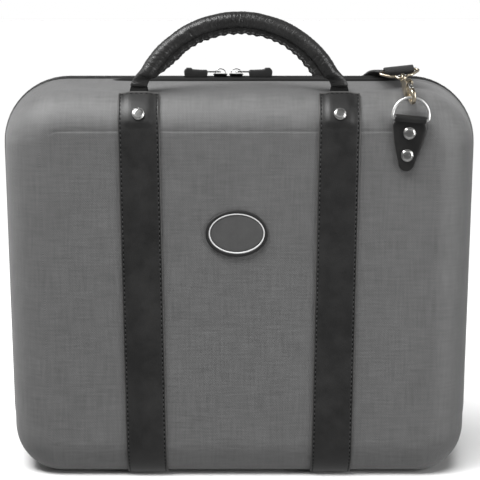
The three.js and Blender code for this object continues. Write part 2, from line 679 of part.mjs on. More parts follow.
function gateGeometry() {
  const tipZ = HOOK_OUTER * Math.sin(HOOK_TIP_ANGLE) + CLEARANCE;
  const half = GATE_WALL / 2;
  const top = HOOK_BODY_START + GATE_ROOT;
  const bar = plate([
    [GATE_X - half, tipZ], [GATE_X + half, tipZ], [GATE_X + half, top], [GATE_X - half, top],
  ], HOOK_WALL);
  return join(bar, gatePin(GATE_PIN_RADIUS, HOOK_BODY_WALL));
}

// Wire loop: its bar is on the X axis and its pointed end, where the hook's eye rides, is at -LOOP_LENGTH.
function strapLoopGeometry() {
  const shoulder = LOOP_BAR_HALF_WIDTH * 0.6;
  const right = [
    [LOOP_TIP_HALF_WIDTH, -LOOP_LENGTH],
    [LOOP_TIP_HALF_WIDTH * 2, LOOP_NOTCH - LOOP_LENGTH],
    [shoulder, LOOP_NOTCH - LOOP_LENGTH],
    [LOOP_HALF_WIDTH, -LOOP_WIRE_RADIUS * 2],
    [LOOP_BAR_HALF_WIDTH, 0],
  ];
  return wireLoop([...right, ...right.map(([x, z]) => [-x, z]).reverse()], LOOP_WIRE_RADIUS, LINK_SIDES);
}

// Where a half's D-ring bow stands, in the part's frame.
function bowPlace(lean, turn) {
  return new THREE.Vector3(0, 0, RING_BOW_HEIGHT)
    .applyAxisAngle(new THREE.Vector3(1, 0, 0), lean)
    .applyAxisAngle(new THREE.Vector3(0, 1, 0), RING_TILT)
    .add(new THREE.Vector3(RING_X, RING_Y, RING_Z))
    .applyAxisAngle(new THREE.Vector3(0, 0, 1), turn);
}

// A hook and its wire loop in a line from a D-ring's bow to the shoulder strap's fold.
function chainPlace(lean, turn, heading, rise) {
  const along = new THREE.Vector3(
    Math.cos(heading) * Math.cos(rise),
    Math.sin(heading) * Math.cos(rise),
    Math.sin(rise),
  );
  const seat = HOOK_MOUTH_RADIUS - RING_WIRE_RADIUS - HOOK_PLAY;
  const mouth = bowPlace(lean, turn).addScaledVector(along, seat);
  const fold = mouth.clone().addScaledVector(along, HOOK_LENGTH + LOOP_LENGTH);
  const across = new THREE.Vector3(1, 0, 0).addScaledVector(along, -along.x).normalize();
  return { mouth, fold, along, across, out: new THREE.Vector3().crossVectors(across, along) };
}
const CHAINS = {
  front: chainPlace(FRONT_RING_LEAN, 0, FRONT_CHAIN_HEADING, FRONT_CHAIN_RISE),
  rear: chainPlace(REAR_RING_LEAN, Math.PI, REAR_CHAIN_HEADING, REAR_CHAIN_RISE),
};

function buildChain(prefix) {
  const { mouth, fold, along, across, out } = CHAINS[prefix];
  const chain = new THREE.Group();
  const place = (made, spot, xAxis, yAxis) => {
    made.quaternion.setFromRotationMatrix(new THREE.Matrix4().makeBasis(xAxis, yAxis, along));
    made.position.copy(spot);
    chain.add(made);
  };
  const back = out.clone().negate();
  place(mesh(`${prefix}_strap_loop`, strapLoopGeometry(), FINISH.champagne), fold, across, back);
  place(mesh(`${prefix}_snap_hook`, hookGeometry(), FINISH.champagne), mouth, out, across);
  place(mesh(`${prefix}_hook_gate`, gateGeometry(), FINISH.nickel), mouth, out, across);
  return chain;
}

// One half of the bag with what is sewn and riveted to it, built as the front half.
function buildHalf(prefix, { leafEdge, ringLean }) {
  const half = new THREE.Group();
  const add = (name, geometry, material) => {
    const made = mesh(`${prefix}_${name}`, geometry, material);
    half.add(made);
    return made;
  };
  add('shell', shellGeometry(), FINISH.shell);
  add('insulation', layerGeometry(INSULATION_LEVEL, INSULATION_WALL), FINISH.foam);
  add('liner', layerGeometry(LINER_LEVEL, LINER_WALL), FINISH.foil);
  for (let i = 0; i < DIVIDER_COUNT; i += 1) {
    const x = (i - (DIVIDER_COUNT - 1) / 2) * BAY_SPACING;
    add(`divider_${i + 1}`, dividerGeometry(x), FINISH.divider);
  }
  add('bottle_band', bottleBandGeometry(), FINISH.elastic);
  add('zip_tape', tapeGeometry(), FINISH.tape);
  add('zip_coil', coilGeometry(), FINISH.coil);
  add('hinge_leaf', hingeLeafGeometry(leafEdge), FINISH.tape);
  const strap = faceStrapGeometry();
  const tab = handleTabGeometry();
  add('face_strap_left', mirrored(strap), FINISH.leather);
  add('face_strap_right', strap, FINISH.leather);
  add('handle_tab_left', mirrored(tab), FINISH.leather);
  add('handle_tab_right', tab, FINISH.leather);
  add('handle_grip', gripGeometry(), FINISH.leather);
  add('handle_core', gripCoreGeometry(), FINISH.cord);
  add('handle_rivet_left', rivetAt(RIVETS.left), FINISH.nickel);
  add('handle_rivet_right', rivetAt(RIVETS.right), FINISH.nickel);
  add('tab_rivet_upper', rivetAt(RIVETS.upper), FINISH.nickel);
  add('tab_rivet_lower', rivetAt(RIVETS.lower), FINISH.nickel);
  const fitting = new THREE.Group();
  fitting.position.set(RING_X, RING_Y, RING_Z);
  fitting.rotation.y = RING_TILT;
  const ring = mesh(`${prefix}_d_ring`, ringGeometry(), FINISH.nickel);
  ring.rotation.x = ringLean;
  fitting.add(mesh(`${prefix}_ring_tab`, ringTabGeometry(), FINISH.leather), ring);
  half.add(fitting);
  return half;
}

function badgeGeometry() {
  const rim = BADGE_HALF_HEIGHT * BADGE_RIM_SHARE;
  const profile = [
    [0, 0], [BADGE_HALF_HEIGHT, 0], [BADGE_HALF_HEIGHT, BADGE_FIELD_WALL],
    [BADGE_HALF_HEIGHT - BADGE_FIELD_WALL / 2, BADGE_RIM_WALL], [rim, BADGE_RIM_WALL],
    [rim, BADGE_FIELD_WALL], [0, BADGE_FIELD_WALL],
  ].map(([r, h]) => new THREE.Vector2(r, h));
  return new THREE.LatheGeometry(profile, 24)
    .scale(BADGE_HALF_WIDTH / BADGE_HALF_HEIGHT, 1, 1)
    .rotateX(Math.PI)
    .translate(BADGE_X, -SHELL_DEPTH - CLEARANCE, BADGE_Z);
}

// Zip slider: a plate over the coil, a flange beside the rear coil and an arched bridge for the puller.
const SLIDER_Z = SHELL_HEIGHT + COIL_PROUD + CLEARANCE;
const BRIDGE_Z = SLIDER_Z + SLIDER_PLATE;
const LINK_Z = BRIDGE_Z + CLEARANCE + LINK_WIRE_RADIUS;
function sliderGeometry() {
  const half = SLIDER_LENGTH / 2;
  const body = box([-half, half], [-SLIDER_WIDTH / 2, SLIDER_WIDTH / 2], [SLIDER_Z, BRIDGE_Z]);
  const flange = box(
    [-half, half],
    [SLIDER_WIDTH / 2 - SLIDER_FLANGE, SLIDER_WIDTH / 2],
    [SLIDER_Z - SLIDER_FLANGE, SLIDER_Z + CLEARANCE],
  );
  const bow = (inset, foot) => arc(0, 0, 1, 0, Math.PI, 8).map(([x, z]) => [
    x * (BRIDGE_HALF_LENGTH - inset),
    BRIDGE_Z - foot + z * (BRIDGE_HEIGHT - inset + foot),
  ]);
  const bridge = plate([...bow(0, CLEARANCE), ...bow(BRIDGE_BAR, CLEARANCE).reverse()], BRIDGE_WIDTH);
  return join(body, flange, bridge);
}

function linkGeometry(radius = LINK_WIRE_RADIUS) {
  return wireLoop([
    [0, -LINK_HALF_WIDTH], [LINK_LENGTH, -LINK_HALF_WIDTH],
    [LINK_LENGTH, LINK_HALF_WIDTH], [0, LINK_HALF_WIDTH],
  ], radius, LINK_SIDES).rotateX(QUARTER).translate(0, 0, LINK_Z);
}

function pullTabGeometry() {
  const low = SLIDER_Z + CLEARANCE;
  const half = PULL_WIDTH / 2;
  const body = box([PULL_START, PULL_START + PULL_LENGTH], [-half, half], [low, low + PULL_WALL]);
  const nub = box(
    [PULL_NUB_START, PULL_NUB_START + PULL_NUB_LENGTH],
    [-half, half],
    [low + PULL_WALL - CLEARANCE, low + PULL_WALL + PULL_NUB_HEIGHT],
  );
  return cut(join(body, nub), linkGeometry(LINK_WIRE_RADIUS + CLEARANCE));
}

// A slider with its puller pointing along +X. The left one is turned round.
function buildSlider(side) {
  const group = new THREE.Group();
  group.position.x = SLIDER_XS[side];
  const body = mesh(`zip_slider_${side}`, sliderGeometry(), FINISH.nickel);
  const puller = new THREE.Group();
  puller.rotation.z = side === 'left' ? Math.PI : 0;
  puller.add(
    mesh(`pull_link_${side}`, linkGeometry(), FINISH.nickel),
    mesh(`pull_tab_${side}`, pullTabGeometry(), FINISH.rubber),
  );
  group.add(body, puller);
  return group;
}

// The shoulder strap's middle line between its folds, in shares of the half width, depth and height of the
// shell, each with its twist in degrees.
const ROUTE_SHARES = [
  [0.631, -0.31, 1.018, 0], [0.612, 0.02, 1.0125, 0], [0.595, 0.41, 0.9965, 0],
  [0.582, 0.73, 0.981, 0], [0.577, 0.99, 0.941, 0], [0.5735, 1.125, 0.9, 0],
  [0.5728, 1.165, 0.86, 0], [0.5728, 1.165, 0.82, 0], [0.5728, 1.165, 0.6, 0], [0.5728, 1.165, 0.565, 0],
  [0.563, 1.2, 0.49, 45], [0.524, 1.2, 0.395, 90], [0.398, 1.2, 0.29, 90],
  [0.194, 1.2, 0.216, 90], [-0.039, 1.2, 0.194, 90], [-0.272, 1.2, 0.225, 90],
  [-0.485, 1.2, 0.31, 90], [-0.62, 1.2, 0.43, 90], [-0.672, 1.19, 0.537, 45],
  [-0.6765, 1.18, 0.645, 0],
];
const STRAIGHT_RUN = [7, 8];
const routePoint = ([x, y, z]) =>
  new THREE.Vector3((x * SHELL_WIDTH_TOP) / 2, y * SHELL_DEPTH, z * SHELL_HEIGHT);

const STRAP_PLACES = [CHAINS.front.fold, ...ROUTE_SHARES.map(routePoint), CHAINS.rear.fold];
const STRAP_TWISTS = [0, ...ROUTE_SHARES.map((row) => degToRad(row[3])), 0];
const STRAP_CURVE = new THREE.CatmullRomCurve3(STRAP_PLACES, false, 'centripetal');
const STRAP_LENGTH = STRAP_CURVE.getLength();

// The webbing's section at a distance along the strap, one or two plies thick.
function webRing(distance, plies) {
  const t = STRAP_CURVE.getUtoTmapping(distance / STRAP_LENGTH);
  const last = STRAP_PLACES.length - 1;
  const first = Math.min(last - 1, Math.floor(t * last));
  const twist = THREE.MathUtils.lerp(STRAP_TWISTS[first], STRAP_TWISTS[first + 1], t * last - first);
  const nearest = Math.min(distance, STRAP_LENGTH - distance);
  const end = distance < STRAP_LENGTH / 2 ? CHAINS.front : CHAINS.rear;
  const held = 1 - THREE.MathUtils.smoothstep(nearest, WEB_FOLD_LENGTH / 2, WEB_FOLD_LENGTH * 2);
  const middle = STRAP_CURVE.getPoint(t);
  const along = STRAP_CURVE.getTangent(t);
  const across = new THREE.Vector3(Math.cos(twist), Math.sin(twist), 0).lerp(end.across, held);
  across.addScaledVector(along, -across.dot(along)).normalize();
  const thick = new THREE.Vector3().crossVectors(along, across);
  return [[-1, -1], [1, -1], [1, 1], [-1, 1]].map(([w, h]) => middle.clone()
    .addScaledVector(across, (w * WEB_WIDTH) / 2)
    .addScaledVector(thick, (h * plies * WEB_WALL) / 2));
}

const webRings = (from, to, steps, plies) => between(from, to, steps).map((at) => webRing(at, plies));

// A rod on the bar of a chain's wire loop.
function foldRod({ fold, across }, radius, length) {
  const turn = new THREE.Quaternion().setFromUnitVectors(new THREE.Vector3(1, 0, 0), across);
  return rodAlongX(radius, length, RIVET_SIDES).applyQuaternion(turn).translate(fold.x, fold.y, fold.z);
}

function withEye(geometry, end) {
  const whole = join(geometry, foldRod(end, WEB_EYE_RADIUS, WEB_WIDTH));
  return cut(whole, foldRod(end, LOOP_WIRE_RADIUS + CLEARANCE, WEB_WIDTH * 2));
}

// The stitched end that holds the front wire loop.
function strapEndGeometry() {
  return withEye(solid(webRings(WEB_EYE_RADIUS / 2, WEB_FOLD_LENGTH, WEB_FOLD_STEPS, 2)), CHAINS.front);
}

function shoulderStrapGeometry() {
  const doubled = STRAP_LENGTH - WEB_FOLD_LENGTH;
  const single = webRings(WEB_FOLD_LENGTH + CLEARANCE, doubled - CLEARANCE, WEB_STEPS, 1);
  const fold = webRings(doubled, STRAP_LENGTH - WEB_EYE_RADIUS / 2, WEB_FOLD_STEPS, 2);
  return withEye(solid([...single, ...fold]), CHAINS.rear);
}

function strapSlideGeometry() {
  const [high, low] = STRAIGHT_RUN.map((i) => routePoint(ROUTE_SHARES[i]));
  const { x, y, z } = high.lerp(low, 1 / 2);
  const width = WEB_WIDTH / 2 + CLEARANCE * 2;
  const depth = WEB_WALL / 2 + CLEARANCE * 2;
  const outer = box(
    [x - width - SLIDE_WALL, x + width + SLIDE_WALL],
    [y - depth - SLIDE_WALL, y + depth + SLIDE_WALL],
    [z - SLIDE_HEIGHT / 2, z + SLIDE_HEIGHT / 2],
  );
  const slot = box(
    [x - width, x + width],
    [y - depth, y + depth],
    [z - SLIDE_HEIGHT, z + SLIDE_HEIGHT],
  );
  return cut(outer, slot);
}

function buildBag() {
  const bag = new THREE.Group();
  const front = buildHalf('front', { leafEdge: -FRONT_LEAF_SETBACK, ringLean: FRONT_RING_LEAN });
  front.add(mesh('badge', badgeGeometry(), FINISH.rubber));
  const rear = buildHalf('rear', { leafEdge: REAR_LEAF_OVERLAP, ringLean: REAR_RING_LEAN });
  rear.rotation.z = Math.PI;
  bag.add(front, rear, buildSlider('left'), buildSlider('right'));
  bag.add(buildChain('front'), buildChain('rear'));
  bag.add(mesh('front_strap_end', strapEndGeometry(), FINISH.webbing));
  bag.add(mesh('shoulder_strap', shoulderStrapGeometry(), FINISH.webbing));
  bag.add(mesh('strap_slide', strapSlideGeometry(), FINISH.champagne));
  return bag;
}

export default buildBag();
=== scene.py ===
"""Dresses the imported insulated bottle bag: cloth shells, leather straps and handles, fittings, zip and strap.

Sizes inside the classes are millimetres in the frame of the CAD model, and every mesh is made in metres.
"""
import logging
from collections.abc import Callable, Iterable, Sequence
from dataclasses import dataclass, field
from enum import Enum
from math import acos, asin, atan, copysign, cos, pi, radians, sin, sqrt, tan

import bmesh
import bpy
from mathutils import Matrix, Vector, noise


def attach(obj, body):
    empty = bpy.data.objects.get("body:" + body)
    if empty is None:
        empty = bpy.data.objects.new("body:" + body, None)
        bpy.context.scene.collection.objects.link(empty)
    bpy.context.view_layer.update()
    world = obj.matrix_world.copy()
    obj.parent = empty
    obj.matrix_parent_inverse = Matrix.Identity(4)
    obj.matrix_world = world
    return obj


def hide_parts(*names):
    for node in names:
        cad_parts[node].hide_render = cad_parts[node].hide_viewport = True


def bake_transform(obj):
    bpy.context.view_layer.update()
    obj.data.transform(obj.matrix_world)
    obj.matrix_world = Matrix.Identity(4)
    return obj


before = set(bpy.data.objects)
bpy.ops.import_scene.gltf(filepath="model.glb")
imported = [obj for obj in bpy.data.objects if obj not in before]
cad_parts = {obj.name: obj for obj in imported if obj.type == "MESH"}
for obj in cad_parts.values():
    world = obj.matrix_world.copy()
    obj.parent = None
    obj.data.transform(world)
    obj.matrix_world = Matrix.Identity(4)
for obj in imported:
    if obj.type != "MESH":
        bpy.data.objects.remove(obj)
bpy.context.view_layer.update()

MM = 0.001
TURN = 2 * pi
QUARTER = pi / 2
X, Y, Z = (Vector(axis) for axis in ((1, 0, 0), (0, 1, 0), (0, 0, 1)))
SHARP = 40.0  # edges that turn by more degrees than this stay sharp
TIP = 1e-3  # the least radius in a turned form
LOG = logging.getLogger("bag")

Ring = list[Vector]
Place = tuple[float, float]
Spot = tuple[Vector, Vector, Vector]
Colour = tuple[float, float, float, float]


class Side(Enum):
    """The two halves of the bag."""

    FRONT = "front"
    REAR = "rear"

    @property
    def body(self) -> str:
        """The CAD body that the half's sewn pieces ride on."""
        return "front" if self is Side.FRONT else "root"

    @property
    def turn(self) -> Matrix:
        """Turns a piece built as the front half's to this half."""
        return Matrix.Rotation(0.0 if self is Side.FRONT else pi, 4, "Z")


class Hand(Enum):
    """Left or right, as seen on the half's own face."""

    LEFT = -1
    RIGHT = 1

    @property
    def word(self) -> str:
        """The hand's name in node names."""
        return self.name.lower()


class End(Enum):
    """The two rolled ends of a shell's face."""

    TOP = "top"
    BOTTOM = "bottom"


# ---- small sums


def spread(start: float, end: float, steps: int) -> list[float]:
    """Evenly spaced numbers from start to end, both included."""
    return [start + (end - start) * i / steps for i in range(steps + 1)]


def around(count: int) -> list[float]:
    """Evenly spaced angles round a circle."""
    return spread(0, TURN * (count - 1) / count, count - 1)


def mix(low: float, high: float, share: float) -> float:
    """The number a share of the way from low to high."""
    return low + (high - low) * share


def eased(value: float, low: float, high: float) -> float:
    """Rises smoothly from 0 at low to 1 at high."""
    share = min(1.0, max(0.0, (value - low) / (high - low)))
    return share * share * (3 - 2 * share)


def walked(points: Sequence[Vector], closed: bool = False) -> list[float]:
    """How far each point lies along its path.

    Args:
        points: The path's points.
        closed: Whether the path comes back to its first point.

    Returns:
        The distances, with the whole length last.
    """
    path = [*points, points[0]] if closed else list(points)
    run = [0.0]
    for before, after in zip(path, path[1:]):
        run.append(run[-1] + (after - before).length)
    return run


def arc(x: float, z: float, radius: float, start: float, end: float, steps: int) -> list[Place]:
    """Points of a circle's arc in a plane, both ends included."""
    return [(x + radius * cos(a), z + radius * sin(a)) for a in spread(start, end, steps)]


def paced(spots: Sequence[Spot], pitch: float, margin: float = 0.0) -> list[Spot]:
    """Walks a path in even steps.

    Args:
        spots: The path's points, outward directions and anything as the third entry.
        pitch: The wished distance between steps.
        margin: How far from both ends the steps stay.

    Returns:
        A point, outward direction and direction of travel for each step.
    """
    run = walked([spot[0] for spot in spots])
    length = run[-1] - 2 * margin
    count = max(1, round(length / pitch))
    found: list[Spot] = []
    at = 0
    for i in range(count + 1):
        want = min(run[-1] - 1e-6, margin + length * i / count)
        while at < len(run) - 2 and run[at + 1] < want:
            at += 1
        share = (want - run[at]) / max(1e-9, run[at + 1] - run[at])
        here, after = spots[at], spots[at + 1]
        found.append((
            here[0].lerp(after[0], share),
            here[1].lerp(after[1], share).normalized(),
            (after[0] - here[0]).normalized(),
        ))
    return found


def rounded(points: Sequence[Place], radius: float, steps: int) -> list[Place]:
    """Rounds the corners of a closed flat path.

    Args:
        points: The path's corners.
        radius: The wished corner radius, made smaller where a side is short.
        steps: Steps in each corner.

    Returns:
        The path with an arc-like curve at each corner.
    """
    made: list[Place] = []
    count = len(points)
    for i, point in enumerate(points):
        here = Vector(point)
        before = Vector(points[i - 1]) - here
        after = Vector(points[(i + 1) % count]) - here
        reach = min(radius, before.length * 0.45, after.length * 0.45)
        start, end = here + before.normalized() * reach, here + after.normalized() * reach
        for t in spread(0, 1, steps):
            bend = start * (1 - t) ** 2 + here * (2 * t * (1 - t)) + end * t * t
            made.append((bend.x, bend.y))
    return made


# ---- forms


class Form:
    """Points, faces and flat places of one piece, in millimetres."""

    def __init__(self) -> None:
        """Starts with nothing in it."""
        self.points: list[Vector] = []
        self.worn: list[float] = []
        self.faces: list[tuple[int, ...]] = []
        self.places: list[tuple[Place, ...]] = []

    def loft(
        self,
        rings: Sequence[Ring],
        looped: bool = False,
        places: Sequence[Sequence[Place]] | None = None,
        worn: Callable[[int, int], float] | None = None,
    ) -> "Form":
        """Skins a row of closed rings.

        Args:
            rings: Rings with one number of points each.
            looped: Whether the last ring joins the first one.
            places: A flat place for each point, or none for its girth and run.
            worn: How worn a point is, from its ring's and its own number; the leathers paint such points
                lighter, partly worn leather and partly a painted highlight.

        Returns:
            This form.
        """
        base, count = len(self.points), len(rings[0])
        girth = walked(rings[len(rings) // 2], closed=True)
        middles = [sum(ring, Vector()) / count for ring in rings]
        run = walked(middles, closed=looped)

        def place(i: int, j: int) -> Place:
            """The flat place of one corner."""
            if places is None:
                return girth[j], run[i]
            return places[i % len(rings)][j % count]

        self.points.extend(point.copy() for ring in rings for point in ring)
        self.worn.extend(worn(i, j) if worn else 0.0 for i in range(len(rings)) for j in range(count))
        for i in range(len(rings) if looped else len(rings) - 1):
            a, b = base + i * count, base + ((i + 1) % len(rings)) * count
            for j in range(count):
                k = (j + 1) % count
                self.faces.append((a + j, b + j, b + k, a + k))
                self.places.append((place(i, j), place(i + 1, j), place(i + 1, j + 1), place(i, j + 1)))
        if not looped:
            for i, flip in ((0, False), (len(rings) - 1, True)):
                order = list(range(count))[:: -1 if flip else 1]
                self.faces.append(tuple(base + i * count + j for j in order))
                self.places.append(tuple(place(i, j) for j in order))
        return self

    def add(self, *others: "Form") -> "Form":
        """Takes in the points and faces of other forms.

        Args:
            others: The other forms.

        Returns:
            This form.
        """
        for other in others:
            base = len(self.points)
            self.points.extend(point.copy() for point in other.points)
            self.worn.extend(other.worn)
            self.faces.extend(tuple(base + j for j in face) for face in other.faces)
            self.places.extend(other.places)
        return self

    def moved(self, *steps: Matrix) -> "Form":
        """Moves the form by each matrix in turn.

        Args:
            steps: The matrices, first one first.

        Returns:
            This form.
        """
        for step in steps:
            self.points = [step @ point for point in self.points]
        return self

    def mesh(self, name: str, sharp: float) -> bpy.types.Mesh:
        """Makes a Blender mesh in metres.

        Args:
            name: The mesh's name.
            sharp: Edges that turn by more than this many degrees stay sharp.

        Returns:
            The mesh, shaded smooth between its sharp edges.
        """
        made = bpy.data.meshes.new(name)
        made.from_pydata([point * MM for point in self.points], [], self.faces)
        layer = made.uv_layers.new(name="places")
        flat = [number for face in self.places for place in face for number in place]
        layer.data.foreach_set("uv", flat)
        if any(self.worn):
            made.attributes.new("worn", "FLOAT", "POINT").data.foreach_set("value", self.worn)
        work = bmesh.new()
        work.from_mesh(made)
        bmesh.ops.recalc_face_normals(work, faces=work.faces)
        for face in work.faces:
            face.smooth = True
        limit = radians(sharp)
        for edge in work.edges:
            edge.smooth = len(edge.link_faces) != 2 or edge.calc_face_angle() < limit
        work.to_mesh(made)
        work.free()
        return made


def flat_wire(path: Sequence[Place], radius: float, sides: int = 16) -> Form:
    """A round wire along a closed path in the plane y = 0.

    Args:
        path: The path's points.
        radius: The wire's radius.
        sides: Sides of the wire's section.

    Returns:
        The wire.
    """
    points = [Vector((x, 0, z)) for x, z in path]
    rings: list[Ring] = []
    for i, point in enumerate(points):
        along = (points[(i + 1) % len(points)] - points[i - 1]).normalized()
        across = along.cross(Y).normalized()
        rings.append([
            point + across * (radius * cos(a)) + Y * (radius * sin(a)) for a in around(sides)
        ])
    return Form().loft(rings, looped=True)


def turned(profile: Sequence[Place], sides: int = 40) -> Form:
    """A form turned about the Y axis.

    Args:
        profile: Radius and height of each step. The ends are closed with faces.
        sides: Steps round the axis.

    Returns:
        The turned form.
    """
    angles = around(sides)
    return Form().loft([
        [Vector((max(r, TIP) * cos(a), h, max(r, TIP) * sin(a))) for a in angles]
        for r, h in profile
    ])


def pillow(half: Place, corner: float, steps: int) -> list[Place]:
    """A rectangle with rounded corners, as points round its middle.

    Args:
        half: Half of its width and of its height.
        corner: The wished corner radius.
        steps: Steps in each corner.

    Returns:
        The outline.
    """
    w, h = half
    corner = min(corner, w * 0.98, h * 0.98)
    return [
        point
        for quarter, (right, up) in enumerate(((1, 1), (-1, 1), (-1, -1), (1, -1)))
        for point in arc(
            right * (w - corner), up * (h - corner), corner, quarter * QUARTER, (quarter + 1) * QUARTER, steps
        )
    ]


def soft_block(xs: Place, ys: Place, zs: Place, edge: float) -> Form:
    """A block with all of its edges rounded.

    Args:
        xs: Its reach along X.
        ys: Its reach along Y.
        zs: Its reach along Z.
        edge: The edges' radius.

    Returns:
        The block.
    """
    middle = Vector(((xs[0] + xs[1]) / 2, (ys[0] + ys[1]) / 2, 0))
    half = ((xs[1] - xs[0]) / 2, (ys[1] - ys[0]) / 2)
    rings: list[Ring] = []
    for foot, sign in ((zs[0], -1), (zs[1], 1)):
        angles = spread(QUARTER, 0, 3) if sign < 0 else spread(0, QUARTER, 3)
        for a in angles:
            inset = edge * (1 - cos(a))
            z = foot - sign * edge * (1 - sin(a))
            section = pillow((half[0] - inset, half[1] - inset), edge * 1.2, 3)
            rings.append([middle + Vector((x, y, z)) for x, y in section])
    return Form().loft(rings)


def stitches(spots: Iterable[Spot], length: float, width: float, proud: float) -> Form:
    """A row of thread stitches.

    Args:
        spots: Place, outward direction and direction of travel of each stitch.
        length: Length of one stitch.
        width: Width of the thread.
        proud: How far the thread stands out.

    Returns:
        All of the stitches as one form.
    """
    made = Form()
    for middle, out, along in spots:
        across = out.cross(along).normalized()
        rings = []
        for lean in (-72, -34, 34, 72):
            swing = radians(lean)
            rings.append([
                middle
                + along * (length / 2 * sin(swing))
                + (across * (width / 2 * cos(a)) + out * (proud * sin(a))) * cos(swing)
                for a in around(6)
            ])
        made.loft(rings)
    return made


# ---- shader words


class Value:
    """A number, colour or shader that comes out of a node. Sums on it add Math nodes."""

    def __init__(self, mixing: "Mixing", socket: bpy.types.NodeSocket) -> None:
        """Wraps one output socket of a node tree."""
        self.mixing = mixing
        self.socket = socket

    def _sum(self, operation: str, first: "Value | float", second: "Value | float" = 0.0) -> "Value":
        """Adds one Math node.

        Args:
            operation: Blender's name of the sum.
            first: The first number.
            second: The second number.

        Returns:
            The node's result.
        """
        return self.mixing.node("ShaderNodeMath", {"operation": operation}, {0: first, 1: second})

    def __add__(self, other: "Value | float") -> "Value":
        """Adds a number."""
        return self._sum("ADD", self, other)

    __radd__ = __add__

    def __sub__(self, other: "Value | float") -> "Value":
        """Takes a number away."""
        return self._sum("SUBTRACT", self, other)

    def __rsub__(self, other: float) -> "Value":
        """Takes this from a number."""
        return self._sum("SUBTRACT", other, self)

    def __mul__(self, other: "Value | float") -> "Value":
        """Multiplies by a number."""
        return self._sum("MULTIPLY", self, other)

    __rmul__ = __mul__

    def __truediv__(self, other: "Value | float") -> "Value":
        """Divides by a number."""
        return self._sum("DIVIDE", self, other)

    def __rtruediv__(self, other: float) -> "Value":
        """Divides a number by this."""
        return self._sum("DIVIDE", other, self)

    def wave(self) -> "Value":
        """The sine of this number."""
        return self._sum("SINE", self)

    def size(self) -> "Value":
        """This number without its sign."""
        return self._sum("ABSOLUTE", self)


class Mixing:
    """The nodes of a material or of the sky, linked as they are added."""

    def __init__(self, tree: bpy.types.NodeTree, kind: str) -> None:
        """Takes a tree, and its node of a kind as the one that results are fed to."""
        self.tree = tree
        self.end = next(node for node in tree.nodes if node.type == kind)

    def node(
        self,
        kind: str,
        settings: dict[str, object] | None = None,
        feeds: dict[str | int, object] | None = None,
        out: int | str = 0,
    ) -> Value:
        """Adds a node of any kind.

        Args:
            kind: The node's type.
            settings: Its properties, and "stops" for a ramp. They are set first.
            feeds: Numbers, colours or links for its sockets.
            out: Which output is wanted.

        Returns:
            The output.
        """
        made = self.tree.nodes.new(kind)
        for word, value in (settings or {}).items():
            if word == "stops":
                ramp = made.color_ramp.elements
                while len(ramp) < len(value):
                    ramp.new(0.5)
                for stop, (at, grey) in zip(ramp, value):
                    stop.position, stop.color = at, (grey, grey, grey, 1)
            else:
                setattr(made, word, value)
        for word, value in (feeds or {}).items():
            source = value.socket if isinstance(value, Value) else value
            if isinstance(source, bpy.types.NodeSocket):
                self.tree.links.new(source, made.inputs[word])
            else:
                made.inputs[word].default_value = source
        return Value(self, made.outputs[out])

    def split(self, vector: Value) -> tuple[Value, Value, Value]:
        """The three numbers of a vector.

        Args:
            vector: The vector.

        Returns:
            Its x, y and z.
        """
        parts = self.node("ShaderNodeSeparateXYZ", feeds={0: vector})
        outputs = parts.socket.node.outputs
        return Value(self, outputs[0]), Value(self, outputs[1]), Value(self, outputs[2])

    def joined(self, x: Value | float, y: Value | float) -> Value:
        """A flat place as a vector."""
        return self.node("ShaderNodeCombineXYZ", feeds={0: x, 1: y})

    def steps(self, value: Value, *stops: tuple[float, float]) -> Value:
        """Maps a number through a ramp of greys."""
        return self.node("ShaderNodeValToRGB", {"stops": stops}, {0: value})

    def feed(self, **links: Value) -> None:
        """Links results to the sockets of the last node."""
        for word, value in links.items():
            self.tree.links.new(value.socket, self.end.inputs[word.replace("_", " ")])


class Paint(Mixing):
    """One procedural material being mixed."""

    def __init__(self, name: str, **fixed: object) -> None:
        """Starts a material.

        Args:
            name: The material's name.
            fixed: Numbers and colours set on the shader's own sockets.
        """
        self.material = bpy.data.materials.new(name)
        self.material.use_nodes = True
        super().__init__(self.material.node_tree, "BSDF_PRINCIPLED")
        for word, value in fixed.items():
            self.end.inputs[word.replace("_", " ")].default_value = value

    def flat(self) -> Value:
        """The piece's own flat places, in millimetres."""
        return self.node("ShaderNodeTexCoord", out="UV")

    def solid(self) -> Value:
        """The place in the piece, in metres."""
        return self.node("ShaderNodeTexCoord", out="Object")

    def grain(self, where: Value, scale: float, detail: float = 3.0, rough: float = 0.5) -> Value:
        """Soft noise from 0 to 1."""
        feeds = {"Vector": where, "Scale": scale, "Detail": detail, "Roughness": rough}
        return self.node("ShaderNodeTexNoise", feeds=feeds)

    def pebbles(self, where: Value, scale: float) -> Value:
        """Distances to the middles of scattered cells."""
        return self.node("ShaderNodeTexVoronoi", feeds={"Vector": where, "Scale": scale}, out="Distance")

    def blend(self, share: Value | float, low: Value | Colour, high: Value | Colour) -> Value:
        """A colour between two colours."""
        settings = {"data_type": "RGBA", "clamp_factor": True}
        return self.node("ShaderNodeMix", settings, {0: share, 6: low, 7: high}, 2)

    def bumped(self, height: Value, depth: float, strength: float) -> None:
        """Feeds a height map to the shader's Normal, with its depth in metres."""
        feeds = {"Strength": strength, "Distance": depth, "Height": height}
        self.feed(Normal=self.node("ShaderNodeBump", feeds=feeds))


def grey(level: float, warm: float = 0.0) -> Colour:
    """A linear colour from a display grey of 0 to 255, a little warmer or cooler.

    Args:
        level: The display grey.
        warm: How warm it is, below 0 for cool.

    Returns:
        The colour.
    """
    share = level / 255
    line = share / 12.92 if share <= 0.04045 else ((share + 0.055) / 1.055) ** 2.4
    return line * (1 + warm), line, line * (1 - warm), 1.0


# ---- finishes


